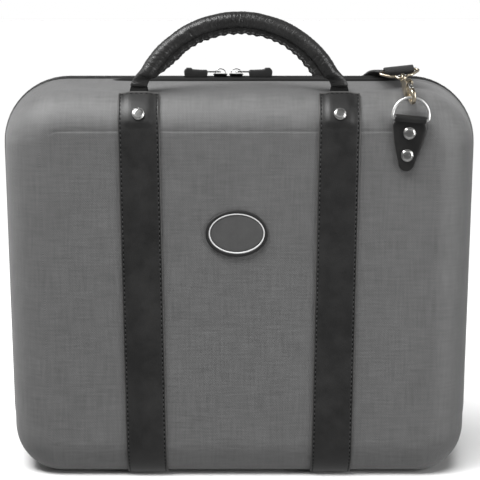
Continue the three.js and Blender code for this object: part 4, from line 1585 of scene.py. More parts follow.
@dataclass
class FaceStrap(HalfPart):
    """A leather strap down the face from roll to roll, with the handle's tab under it."""

    hand: Hand
    strap: Cut = field(default_factory=lambda: Cut(34.5, 1.8))
    tab: Cut = field(default_factory=lambda: Cut(17.0, 1.6))
    top_angle: float = radians(25)
    tab_end: float = radians(76)
    bottom_angle: float = radians(21)
    pitch: float = 3.95
    gap: float = 0.35
    groove: float = 0.88
    pivot: Vector = field(default_factory=lambda: Vector((0, -68.64, 330.98)))

    def spots(self) -> list[Spot]:
        """Skin point, outward direction and tab relief along the strap.

        Returns:
            The spots, from the top down.
        """
        made: list[Spot] = []
        for a in spread(self.top_angle, QUARTER, 26):
            point, out, _ = SHAPE.band_spot(End.TOP, a)
            made.append((point, out, Vector((1 - eased(a, radians(73), radians(84)), 0, 0))))
        high, low = made[-1][0].z, SHAPE.roll_point(End.BOTTOM, 0, QUARTER).z
        for z in spread(high, low, 16)[1:]:
            made.append((Vector((0, -SHAPE.depth, z)), -Y, Vector()))
        for a in spread(QUARTER, self.bottom_angle, 12)[1:]:
            point, out, _ = SHAPE.band_spot(End.BOTTOM, a)
            made.append((point, out, Vector()))
        for point, _, _ in made:
            point.x = SHAPE.strap_x(point.z)
        return made

    def lift(self, relief: float) -> Callable[[float], float]:
        """The height of the strap's back over the tab and beside it.

        Args:
            relief: How much of the tab's height shows.

        Returns:
            The height at a share of the half width.
        """
        def at(u: float) -> float:
            """The height at a share of the half width."""
            over = 1 - eased(abs(u), 0.4, 0.8)
            return self.gap + relief * (0.4 + 1.45 * over)
        return at

    def leather(self) -> Form:
        """The strap itself.

        Returns:
            The form.
        """
        side = X
        rings = [self.strap.ring(p, side, out, self.lift(mark.x)) for p, out, mark in self.spots()]
        first, last = rings[0], rings[-1]
        for ring, near in ((first, rings[1]), (last, rings[-2])):
            middle = sum(ring, Vector()) / len(ring)
            for point, other in zip(ring, near):
                point.x = mix(point.x, middle.x, 0.012)
                point += (other - point) * 0.15
        return Form().loft(rings, worn=self.strap.worn(len(rings)))

    def seam_lines(self) -> list[list[Spot]]:
        """The two seams' lines down the strap."""
        lift = self.strap.wall - 0.28
        return [
            [
                (p + Vector((shift, 0, 0)) + out * (self.lift(mark.x)(self.groove) + lift), out, mark)
                for p, out, mark in self.spots()
            ]
            for shift in (-self.strap.width / 2 * self.groove, self.strap.width / 2 * self.groove)
        ]

    def thread(self) -> Form:
        """The thread's short lengths between the needle holes, painted lighter than the leather as a painted
        highlight where they catch the light.

        Returns:
            The stitches.
        """
        rows = Form()
        for line in self.seam_lines():
            rows.add(stitches(paced(line, self.pitch, 2.8 + self.pitch / 2), 1.5, 1.2, 0.5))
        return rows

    def holes(self) -> Form:
        """Two rows of needle holes down the strap, near-black forms that paint the shade in the holes, and one
        row of dark stitches across its top.

        Returns:
            The stitches.
        """
        rows = Form()
        for line in self.seam_lines():
            rows.add(stitches(paced(line, self.pitch, 2.8), 2.3, 2.1, 0.34))
        spots = self.spots()
        point, out, mark = spots[1]
        nudge = (spots[2][0] - spots[1][0]).normalized() * 1.4
        line = []
        for u in spread(-0.82, 0.82, 24):
            high = self.lift(mark.x)(u) + self.strap.wall - 0.05
            line.append((point + nudge + Vector((u * self.strap.width / 2, 0, 0)) + out * high, out, mark))
        return rows.add(stitches(paced(line, 4.2), 2.5, 1.2, 0.34))

    def tab_leather(self) -> Form:
        """The tab, which lies under the strap and turns up to the handle's foot.

        Returns:
            The form.
        """
        top = Vector((0, self.pivot.y + self.tab.wall / 2, self.pivot.z - 1.7))
        face = -Y
        spots: list[Spot] = [(top, face, Vector())]
        start, out, _ = SHAPE.band_spot(End.TOP, self.top_angle)
        start = start + out * self.gap
        along = (SHAPE.band_spot(End.TOP, self.top_angle + 0.1)[0] - start).normalized()
        handle = start - along * 2.0
        for t in spread(0, 1, 8):
            low = top.lerp(Vector((0, top.y, top.z - 3)), t)
            high = handle.lerp(start, t)
            point = low.lerp(high, eased(t, 0, 1))
            spots.append((point, face.lerp(out, eased(t, 0.1, 1)).normalized(), Vector()))
        for a in spread(self.top_angle, self.tab_end, 14)[1:]:
            point, out, _ = SHAPE.band_spot(End.TOP, a)
            spots.append((point + out * self.gap, out, Vector()))
        rings = []
        for i, (point, out, _) in enumerate(spots):
            point = point.copy()
            point.x = SHAPE.strap_x(point.z)
            narrow = Cut(self.tab.width * mix(0.8, 1.0, min(1.0, i / 8)), self.tab.wall)
            rings.append(narrow.ring(point, X, out, lambda _: 0.0))
        return Form().loft(rings)

    def build(self, bench: Bench) -> None:
        """Puts the strap, its stitches and the tab in the scene.

        Args:
            bench: Where pieces are made.
        """
        word = self.hand.word
        for form, name, look, node, sharp in (
            (self.leather(), "strap", Look.LEATHER, f"face_strap_{word}", 50),
            (self.holes(), "strap_sewing", Look.THREAD, "", 80),
            (self.thread(), "strap_thread", Look.STRAP_THREAD, "", 80),
            # The grip tab takes the darker foot leather, as painted shade.
            (self.tab_leather(), "grip_tab", Look.FOOT, f"handle_tab_{word}", 50),
        ):
            form.moved(Matrix.Diagonal((self.hand.value, 1, 1, 1)))
            self.put(bench, form, f"{name}_{word}", look, node, sharp)


@dataclass
class Handle(HalfPart):
    """A carrying handle: leather wrapped and sewn round a cord, flattened at its feet."""

    arc_radius: float = 87.5
    tube: float = 7.0
    wrap: float = 1.5
    top: float = 391.3
    pivot_y: float = -68.64
    pivot_z: float = 330.98
    foot_width: float = 7.2
    foot_wall: float = 2.2
    taper: float = radians(12)
    seam: float = 5.0
    seam_wall: float = 2.6
    stitch_line: float = 0.62
    stitch_pitch: float = 4.0
    deeper: float = 2.6
    steps: int = 240
    sides: int = 40

    @property
    def body(self) -> str:
        """The CAD body that the handle rides on."""
        return f"{self.side.value}_handle"

    @property
    def centre_z(self) -> float:
        """Height of the arc's centre."""
        return self.top - self.tube - self.arc_radius

    @property
    def half_span(self) -> float:
        """The arc's angle from its top to a foot."""
        return acos((self.pivot_z - self.centre_z) / self.arc_radius)

    def frame_at(self, angle: float) -> tuple[Vector, Vector, float]:
        """The handle's middle, its outward direction and how full its tube is, at an angle.

        Args:
            angle: The angle from the handle's top.

        Returns:
            The middle, the direction and the fullness, 0 to 1.
        """
        full = eased(self.half_span - abs(angle), self.taper * 0.2, self.taper * 0.62)
        sign = copysign(1, angle)
        outward = Vector((sin(angle), 0, cos(angle)))
        across = outward.lerp(Vector((sign, 0, 0)), 1 - full).normalized()
        shift = SHAPE.strap_x(self.pivot_z) - self.arc_radius * sin(self.half_span)
        middle = outward * self.arc_radius + Vector((sign * shift * (1 - full), self.pivot_y, self.centre_z))
        return middle, across, full

    def wrinkle(self, angle: float, turn: float) -> float:
        """How far the wrap bulges or creases at a place, in millimetres.

        Args:
            angle: The angle from the handle's top.
            turn: The angle round the tube, 0 being its outside.

        Returns:
            The bulge, below 0 for a crease.
        """
        run = angle * self.arc_radius
        lean = run + 3.4 * cos(turn) + 2.2 * noise.noise(Vector((run / 21, turn, 5.0)))
        inner = 0.62 + 0.38 * (0.5 - 0.5 * cos(turn))
        valley = noise.noise(Vector((lean / 3.6, turn * 0.6, 3.1 + len(self.side.value))))
        crease = max(0.0, 1 - abs(valley) * 5.0)
        swell = noise.noise(Vector((run / 13, turn * 0.45, 7.7)))
        held = eased(noise.noise(Vector((run / 26, 2.0, 1.0))), -0.55, 0.0)
        return 0.4 * swell - 0.48 * inner * crease * held

    def flange(self, angle: float) -> Place:
        """How deep the sewn flange is, and how far it sways sideways, at an angle.

        Args:
            angle: The angle from the handle's top.

        Returns:
            The depth and the sway.
        """
        run = angle * self.arc_radius
        right_foot = self.side is Side.FRONT and angle > 0
        low, high = (0.6, 0.95) if right_foot else (0.3, 1.5)
        grown = eased(self.half_span - abs(angle), self.taper * low, self.taper * high)
        phase = run * TURN / 7.8 + 2.6 * noise.noise(Vector((run / 19, 3.3, 0.0)))
        depth = self.seam - 0.3 + 0.5 * sin(phase) + 0.5 * noise.noise(Vector((run / 9.5, 0.4, 9.0)))
        depth += self.deeper * eased(angle, 0.35, 1.1) * right_foot
        return grown * depth, grown * 0.35 * sin(phase + 1.2)

    def section(self, angle: float) -> Ring:
        """One section of the wrap with its sewn flange.

        Args:
            angle: The angle from the handle's top.

        Returns:
            The section's points.
        """
        middle, across, full = self.frame_at(angle)
        width = mix(self.foot_width, self.tube, full)
        wall = mix(self.foot_wall, self.tube, full)
        half = min(self.seam_wall / 2, wall * 0.6)
        gap = asin(half / wall)
        flat: list[Place] = []
        pinch = 0.35 * (1 - eased(self.half_span - abs(angle), self.taper * 0.5, self.taper * 1.3))
        for turn in spread(pi - gap, gap - pi, self.sides):
            bulge = full * (self.wrinkle(angle, turn) - pinch)
            flat.append(((width + bulge) * cos(turn), (wall + bulge) * sin(turn)))
        depth, sway = self.flange(angle)
        face = ((0.2, 1.0), (0.5, 0.86), (0.62, 0.7), (0.74, 0.86), (0.94, 0.8), (1.0, 0.5))
        for sign, rows in ((-1, face), (1, face[::-1])):
            for share, thick in rows:
                flat.append((-width - depth * share, sign * half * thick + sway * share))
        return [middle + across * u + Vector((0, v, 0)) for u, v in flat]

    def grip(self) -> Form:
        """The leather wrap.

        Returns:
            The form.
        """
        rings = [self.section(a) for a in spread(-self.half_span, self.half_span, self.steps)]
        ends: list[list[Ring]] = []
        for foot in (rings[0], rings[-1]):
            middle = sum(foot, Vector()) / len(foot)
            made = []
            for a in (25, 50, 72):
                rise, thin = sin(radians(a)), cos(radians(a))
                made.append([
                    Vector((
                        mix(middle.x, p.x, 1 - 0.06 * rise),
                        mix(self.pivot_y, p.y, thin),
                        p.z - self.foot_wall * rise,
                    ))
                    for p in foot
                ])
            ends.append(made)
        return Form().loft([*reversed(ends[0]), *rings, *ends[1]])

    def seam_rows(self) -> Form:
        """Stitches on both faces of the flange.

        Returns:
            The stitches.
        """
        rows = Form()
        limit = self.half_span - self.taper
        for sign in (-1, 1):
            line: list[Spot] = []
            for a in spread(-limit, limit, 160):
                middle, across, _ = self.frame_at(a)
                depth, sway = (size * self.stitch_line for size in self.flange(a))
                thick = self.seam_wall / 2 * 0.78
                point = middle - across * (self.tube + depth) + Vector((0, sway + sign * thick, 0))
                line.append((point, Vector((0, sign, 0)), Vector()))
            rows.add(stitches(paced(line, self.stitch_pitch, 0.5), 3.0, 0.75, 0.3))
        return rows

    def cord(self) -> Form:
        """The laid cord inside the wrap.

        Returns:
            The form.
        """
        reach = self.half_span - self.taper
        radius = self.tube - self.wrap - 0.4
        rings = []
        for a in spread(-reach, reach, 70):
            outward = Vector((sin(a), 0, cos(a)))
            twist = a * 14
            ring = []
            for turn in around(18):
                size = radius * (0.93 + 0.07 * cos(3 * (turn - twist)))
                ring.append(
                    outward * (self.arc_radius + size * cos(turn))
                    + Vector((0, self.pivot_y + size * sin(turn), self.centre_z))
                )
            rings.append(ring)
        return Form().loft(rings)

    def build(self, bench: Bench) -> None:
        """Puts the handle in the scene.

        Args:
            bench: Where pieces are made.
        """
        self.put(bench, self.grip(), "grip_wrap", Look.GRIP, "handle_grip", 55)
        self.put(bench, self.seam_rows(), "grip_sewing", Look.PALE_THREAD)
        self.put(bench, self.cord(), "grip_cord", Look.CORD, "handle_core")


# ---- fittings


@dataclass(frozen=True)
class Rivet:
    """A rivet with a rimmed, domed cap and a spread tail."""

    cap: float = 5.3
    height: float = 2.3
    shank: float = 1.5
    tail: float = 3.6
    tail_height: float = 0.9

    def form(self, stack: float) -> Form:
        """The rivet with its axis on Y and its cap's underside at 0.

        Args:
            stack: Everything that it holds together.

        Returns:
            The rivet.
        """
        r, h = self.cap, self.height
        dome = [(r * 0.42 * i / 3, h * (1 - 0.004 * i)) for i in range(4)]
        dome += [
            (r * (0.42 + 0.38 * sin(a)), h * (0.7 + 0.288 * cos(a)))
            for a in spread(0.2, QUARTER, 10)
        ]
        rim = [
            (r * share, h * rise)
            for share, rise in (
                (0.805, 0.58), (0.83, 0.52), (0.86, 0.54), (0.9, 0.56), (0.94, 0.5),
                (0.97, 0.38), (0.99, 0.22), (1.0, 0.1), (1.0, 0.0),
            )
        ]
        rim += [(r * 0.9, -0.04), (self.shank, 0.0)]
        tail, foot = self.tail, self.tail_height
        back = [
            (self.shank, foot - stack), (tail * 0.93, foot - stack), (tail, foot * 0.6 - stack),
            (tail * 0.8, foot * 0.1 - stack), (tail * 0.3, -stack), (0.0, -stack),
        ]
        return turned([*dome, *rim, *back])


@dataclass
class RingFitting(HalfPart):
    """The D-ring, its folded leather tab and all of the half's rivets."""

    x: float = 140.6
    z: float = 303.8
    tilt: float = radians(5)
    wire: float = 1.2
    half_width: float = 14.9
    leg: float = 2.9
    corner: float = 1.6
    tab_wall: float = 3.4
    eye: float = 3.2
    top_width: float = 26.2
    widest: float = 29.2
    shoulder: float = 6.0
    end_width: float = 13.6
    length: float = 43.0
    drops: tuple[float, float] = (11.5, 29.8)
    handle_rivet: float = radians(64)
    stack: float = 4.0
    front_lean: float = -2.0
    rear_lean: float = 140.0

    @property
    def y(self) -> float:
        """Depth of the D-ring's bar."""
        return -SHAPE.depth - 0.3 - self.eye

    @property
    def seat(self) -> Matrix:
        """From the bar's own frame to the bag's."""
        place = Matrix.Translation((self.x, self.y, self.z)) @ Matrix.Rotation(self.tilt, 4, "Y")
        return self.side.turn @ place

    @property
    def lean(self) -> float:
        """How far the ring is tipped about its bar."""
        return radians(self.front_lean if self.side is Side.FRONT else self.rear_lean)

    def ring(self) -> Form:
        """The bent wire ring, its bar through the tab.

        Returns:
            The form.
        """
        inner = self.half_width - self.corner
        path = [
            *arc(inner, self.corner, self.corner, -QUARTER, 0, 6),
            *arc(0, self.leg, self.half_width, 0, pi, 40),
            *arc(-inner, self.corner, self.corner, pi, pi + QUARTER, 6),
        ]
        return flat_wire(path, self.wire, 20)

    def half_at(self, drop: float) -> float:
        """Half of the tab's width at a distance below the bar.

        Args:
            drop: Distance below the bar.

        Returns:
            Half of the width there.
        """
        end = self.end_width / 2
        round_start = self.length - end
        if drop < self.shoulder:
            top = self.top_width / 2
            return mix(top, self.widest / 2, eased(drop, self.eye * 0.6, self.shoulder))
        if drop < round_start:
            share = (drop - self.shoulder) / (round_start - self.shoulder)
            return mix(self.widest / 2, end, share) + 0.9 * sin(pi * share)
        return sqrt(max(0.0, end**2 - (drop - round_start) ** 2))

    def tab(self) -> Form:
        """Two plies of leather folded over the bar, with rounded edges.

        Returns:
            The form.
        """
        back, front = self.eye, self.eye - self.tab_wall
        room, gap = self.eye - 1.7, 0.16
        made = Form()
        for outer_y, sign in ((front, -1), (back, 1)):
            inner_y = outer_y - sign * (self.tab_wall / 2 - gap)
            rings = []
            drops = [*spread(2.2, self.shoulder, 5), *spread(self.shoulder + 2, self.length - 7, 9)]
            drops += [self.length - 6.8 * (1 - sin(a)) for a in spread(0.1, QUARTER - 0.16, 8)]
            for drop in drops:
                half = max(0.6, self.half_at(drop) - (0.0 if sign < 0 else 0.35))
                near = [(1.0, 0.45), (0.975, 0.8), (0.94, 1.0), (0.7, 1.0), (0.35, 1.0), (0.0, 1.0)]
                top = near + [(-u, t) for u, t in reversed(near[:-1])]
                low = [(-0.97, 0.0), (0.0, 0.0), (0.97, 0.0)]
                rings.append([Vector((half * u, mix(inner_y, outer_y, t), -drop)) for u, t in top + low])
            # Points 9 to 11 are the plies' left edges; marking them worn paints a highlight there, where the
            # front ply's edge catches the light.
            made.loft(rings, worn=lambda _, j: 0.8 if 9 <= j <= 11 else 0.0)
        half = self.top_width / 2
        outer, inner = self.eye, room + 0.2
        fold = []
        for x in (-half, -half + 0.35, -half + 0.9, 0.0, half - 0.9, half - 0.35, half):
            pinch = 0.35 if abs(x) == half else 0.08 if abs(abs(x) - half + 0.35) < 1e-6 else 0.0
            big, small = outer - pinch, inner + pinch
            section = [
                (big, -2.6), *arc(0, 0, big, 0, pi, 14), (-big, -2.6),
                (-small, -2.6), *arc(0, 0, small, pi, 0, 14), (small, -2.6),
            ]
            fold.append([Vector((x, y, z)) for y, z in section])
        return made.add(Form().loft(fold))

    def rivet_places(self) -> dict[str, tuple[Vector, Vector, float]]:
        """Place under the cap, outward direction and stack of each rivet.

        Returns:
            The three by each rivet's name.
        """
        lift = 1.6 + 1.8 + 0.6
        point, out = SHAPE.rivet_spot(lift + 0.3, self.handle_rivet)
        places = {"handle_rivet_right": (point, out, lift + 0.3 + self.stack)}
        places["handle_rivet_left"] = (Vector((-point.x, point.y, point.z)), out, lift + 0.3 + self.stack)
        for word, drop in zip(("upper", "lower"), self.drops):
            spot = Vector((
                self.x - drop * sin(self.tilt), -SHAPE.depth - self.tab_wall - 0.6,
                self.z - drop * cos(self.tilt),
            ))
            places[f"tab_rivet_{word}"] = (spot, -Y, self.tab_wall + 0.6 + self.stack)
        return places

    def build(self, bench: Bench) -> None:
        """Puts the ring, tab and rivets in the scene.

        Args:
            bench: Where pieces are made.
        """
        half = self.side.value
        ring = self.ring().moved(Matrix.Rotation(self.lean, 4, "X"), self.seat)
        bench.put(ring, f"{half}_ring_wire", Look.RING, f"{half}_ring", [f"{half}_d_ring"])
        tab = self.tab().moved(self.seat)
        bench.put(tab, f"{half}_ring_leather", Look.TAB, self.body, [f"{half}_ring_tab"], 50)
        for word, (point, out, stack) in self.rivet_places().items():
            stand = Y.rotation_difference(out).to_matrix().to_4x4()
            form = Rivet().form(stack).moved(stand, Matrix.Translation(point))
            self.put(bench, form, f"{word}_cap", Look.NICKEL, word, 60)


@dataclass
class Clip:
    """A snap hook with its gate, and the wire loop that holds the shoulder strap."""

    side: Side
    mouth: float = 4.5
    bar: float = 2.6
    wall: float = 3.4
    length: float = 27.6
    body_width: float = 8.0
    body_wall: float = 6.4
    body_start: float = 8.6
    body_end: float = 20.6
    eye: float = 2.1
    tip: float = radians(18)
    play: float = 0.7
    gate_wall: float = 1.5
    gate_root: float = 2.6
    gate_swing: float = 1.2
    pin: float = 0.8
    loop_wire: float = 1.2
    loop_half: float = 16.8
    loop_bar: float = 14.6
    loop_length: float = 12.5
    loop_notch: float = 4.2
    loop_tip: float = 2.5
    front_way: Place = (103.0, 28.7)
    rear_way: Place = (90.0, -90.0)

    @property
    def along(self) -> Vector:
        """The direction from the hook's mouth to the strap's fold."""
        heading, rise = self.front_way if self.side is Side.FRONT else self.rear_way
        h, r = radians(heading), radians(rise)
        return Vector((cos(h) * cos(r), sin(h) * cos(r), sin(r)))

    @property
    def across(self) -> Vector:
        """The direction of the loop's bar."""
        along = self.along
        return (X - along * along.x).normalized()

    @property
    def mouth_place(self) -> Vector:
        """The middle of the hook's mouth."""
        fitting = RingFitting(self.side)
        bow = Vector((0, 0, fitting.leg + fitting.half_width))
        bow = fitting.seat @ (Matrix.Rotation(fitting.lean, 4, "X") @ bow)
        return bow + self.along * (self.mouth - fitting.wire - self.play)

    @property
    def fold(self) -> Vector:
        """The middle of the loop's bar."""
        return self.mouth_place + self.along * (self.length + self.loop_length)

    @staticmethod
    def seat(x: Vector, y: Vector, z: Vector, place: Vector) -> Matrix:
        """A frame's matrix from its three directions and its place."""
        turn = Matrix((x, y, z)).transposed().to_4x4()
        return Matrix.Translation(place) @ turn

    def jaw(self) -> Form:
        """The hook's bent bar, oval in section, with a rounded tip.

        Returns:
            The form.
        """
        radius = self.mouth + self.bar / 2
        path = [Vector((-radius, 0, z)) for z in spread(self.body_start + 1, 0.6, 4)]
        path += [
            Vector((radius * cos(a), 0, radius * sin(a)))
            for a in spread(pi, TURN + self.tip - 0.12, 30)
        ]
        rings: list[Ring] = []
        for i, point in enumerate(path):
            before, after = path[max(0, i - 1)], path[min(len(path) - 1, i + 1)]
            way = (after - before).normalized()
            side = way.cross(Y).normalized()
            rings.append(self.oval(point, side, 1.0))
        way = (path[-1] - path[-2]).normalized()
        side = way.cross(Y).normalized()
        for a in (35, 62, 82):
            lean = radians(a)
            rings.append(self.oval(path[-1] + way * 0.95 * sin(lean), side, cos(lean)))
        return Form().loft(rings)

    def oval(self, middle: Vector, side: Vector, size: float) -> Ring:
        """A rounded section of the hook's bar."""
        half = (self.bar / 2 * size, self.wall / 2 * size)
        return [middle + side * u + Vector((0, v, 0)) for u, v in pillow(half, min(half) * 0.8, 4)]

    def barrel(self) -> Form:
        """The hook's body between jaw and eye, with cheeks beside the gate.

        Returns:
            The form.
        """
        gate_x = self.mouth + self.bar / 2
        front = gate_x + self.gate_wall / 2 + self.gate_swing
        back = -self.mouth - self.bar
        low, high = self.body_start, self.body_end
        slot_top = low + self.gate_root + 0.35
        shoulder = low + self.gate_root * 2

        def section(z: float, x0: float, x1: float, wall: float, shrink: float = 0.0) -> Ring:
            """One level of the body."""
            half = ((x1 - x0) / 2 - shrink, wall / 2 - shrink)
            return [Vector(((x0 + x1) / 2 + u, v, z)) for u, v in pillow(half, 1.3, 4)]

        rows = [(slot_top, 0.0), (slot_top + 0.2, 0.0), (shoulder, 0.0)]
        rings = [section(z, back, front, self.body_wall, s) for z, s in rows]
        for share in (0.2, 0.45, 0.7, 0.9, 1.0):
            z = mix(shoulder, high, share)
            x0 = mix(back, -self.body_width / 2, eased(share, 0, 1))
            x1 = mix(front, self.body_width / 2, eased(share, 0, 1))
            rings.append(section(z, x0, x1, self.body_wall, 0.0 if share < 0.95 else 0.5))
        rings.append(section(high + 0.15, -self.body_width / 2, self.body_width / 2, self.body_wall, 1.3))
        body = Form().loft(rings)
        inner = gate_x - self.gate_wall / 2 - self.gate_swing
        rows = [(low, 0.5), (low + 0.4, 0.1), (slot_top, 0.0)]
        body.loft([section(z, back, inner, self.body_wall, s) for z, s in rows])
        for sign in (-1, 1):
            y = sorted((sign * self.body_wall / 2, sign * (self.wall / 2 + 0.35)))
            body.add(soft_block((inner - 1.2, front), (y[0], y[1]), (low, slot_top + 0.6), 0.4))
        return body

    def eye_part(self) -> Form:
        """The swivel's collar, neck and eye.

        Returns:
            The form.
        """
        collar = Form()
        spin = Matrix.Rotation(QUARTER, 4, "X")
        profile = [
            (0.0, 0.0), (2.4, 0.0), (2.75, 0.3), (2.75, 1.0), (2.4, 1.3),
            (1.55, 1.5), (1.5, 2.6), (1.7, 3.4), (0.0, 3.6),
        ]
        collar.add(turned(profile, 24).moved(spin, Matrix.Translation((0, 0, self.body_end - 0.2))))
        mid = self.eye + self.bar * 0.4
        rings = []
        for a in around(28):
            side = Vector((cos(a), 0, sin(a)))
            middle = side * mid + Vector((0, 0, self.length))
            half = (self.bar * 0.4, self.wall / 2 * 0.92)
            rings.append([middle + side * u + Vector((0, v, 0)) for u, v in pillow(half, half[0] * 0.85, 4)])
        return collar.loft(rings, looped=True)

    def gate(self) -> Form:
        """The sprung gate with its thumb ridge and pin.

        Returns:
            The form.
        """
        gate_x = self.mouth + self.bar / 2
        tip_z = (self.mouth + self.bar) * sin(self.tip) + 0.35
        half = self.gate_wall / 2
        top = self.body_start + self.gate_root
        bar = soft_block((gate_x - half, gate_x + half), (-self.wall / 2, self.wall / 2), (tip_z, top), 0.45)
        for z in (4.4, 5.4, 6.4):
            bar.add(soft_block((gate_x + half - 0.3, gate_x + half + 0.28), (-1.5, 1.5), (z, z + 0.5), 0.2))
        pin_z = self.body_start + self.gate_root - self.pin
        reach = self.body_wall / 2
        head = [
            (0.0, -reach - 0.25), (0.6, -reach - 0.2), (1.15, -reach), (self.pin, 0.05 - reach),
            (self.pin, reach - 0.05), (1.15, reach), (0.6, reach + 0.2), (0.0, reach + 0.25),
        ]
        return bar.add(turned(head, 20).moved(Matrix.Translation((gate_x, 0, pin_z))))

    def wire_loop(self) -> Form:
        """The bent wire loop between hook and strap.

        Returns:
            The form.
        """
        shoulder = self.loop_bar * 0.6
        right = [
            (self.loop_tip, -self.loop_length), (self.loop_tip * 2, self.loop_notch - self.loop_length),
            (shoulder, self.loop_notch - self.loop_length), (self.loop_half, -self.loop_wire * 2),
            (self.loop_bar, 0.0),
        ]
        path = rounded([*right, *[(-x, z) for x, z in reversed(right)]], 1.8, 5)
        return flat_wire(path, self.loop_wire, 16)

    def build(self, bench: Bench) -> None:
        """Puts the hook, gate and loop in the scene.

        Args:
            bench: Where pieces are made.
        """
        half = self.side.value
        along, across = self.along, self.across
        out = across.cross(along)
        hook = self.seat(out, across, along, self.mouth_place)
        loop = self.seat(across, -out, along, self.fold)
        body = f"{half}_clip"
        form = Form().add(self.jaw(), self.barrel(), self.eye_part()).moved(hook)
        bench.put(form, f"{half}_hook", Look.CHAMPAGNE, body, [f"{half}_snap_hook"], 50)
        lever = self.gate().moved(hook)
        bench.put(lever, f"{half}_hook_lever", Look.NICKEL, f"{half}_gate", [f"{half}_hook_gate"], 50)
        wire = self.wire_loop().moved(loop)
        bench.put(wire, f"{half}_wire_loop", Look.CHAMPAGNE, body, [f"{half}_strap_loop"])


# ---- shoulder strap


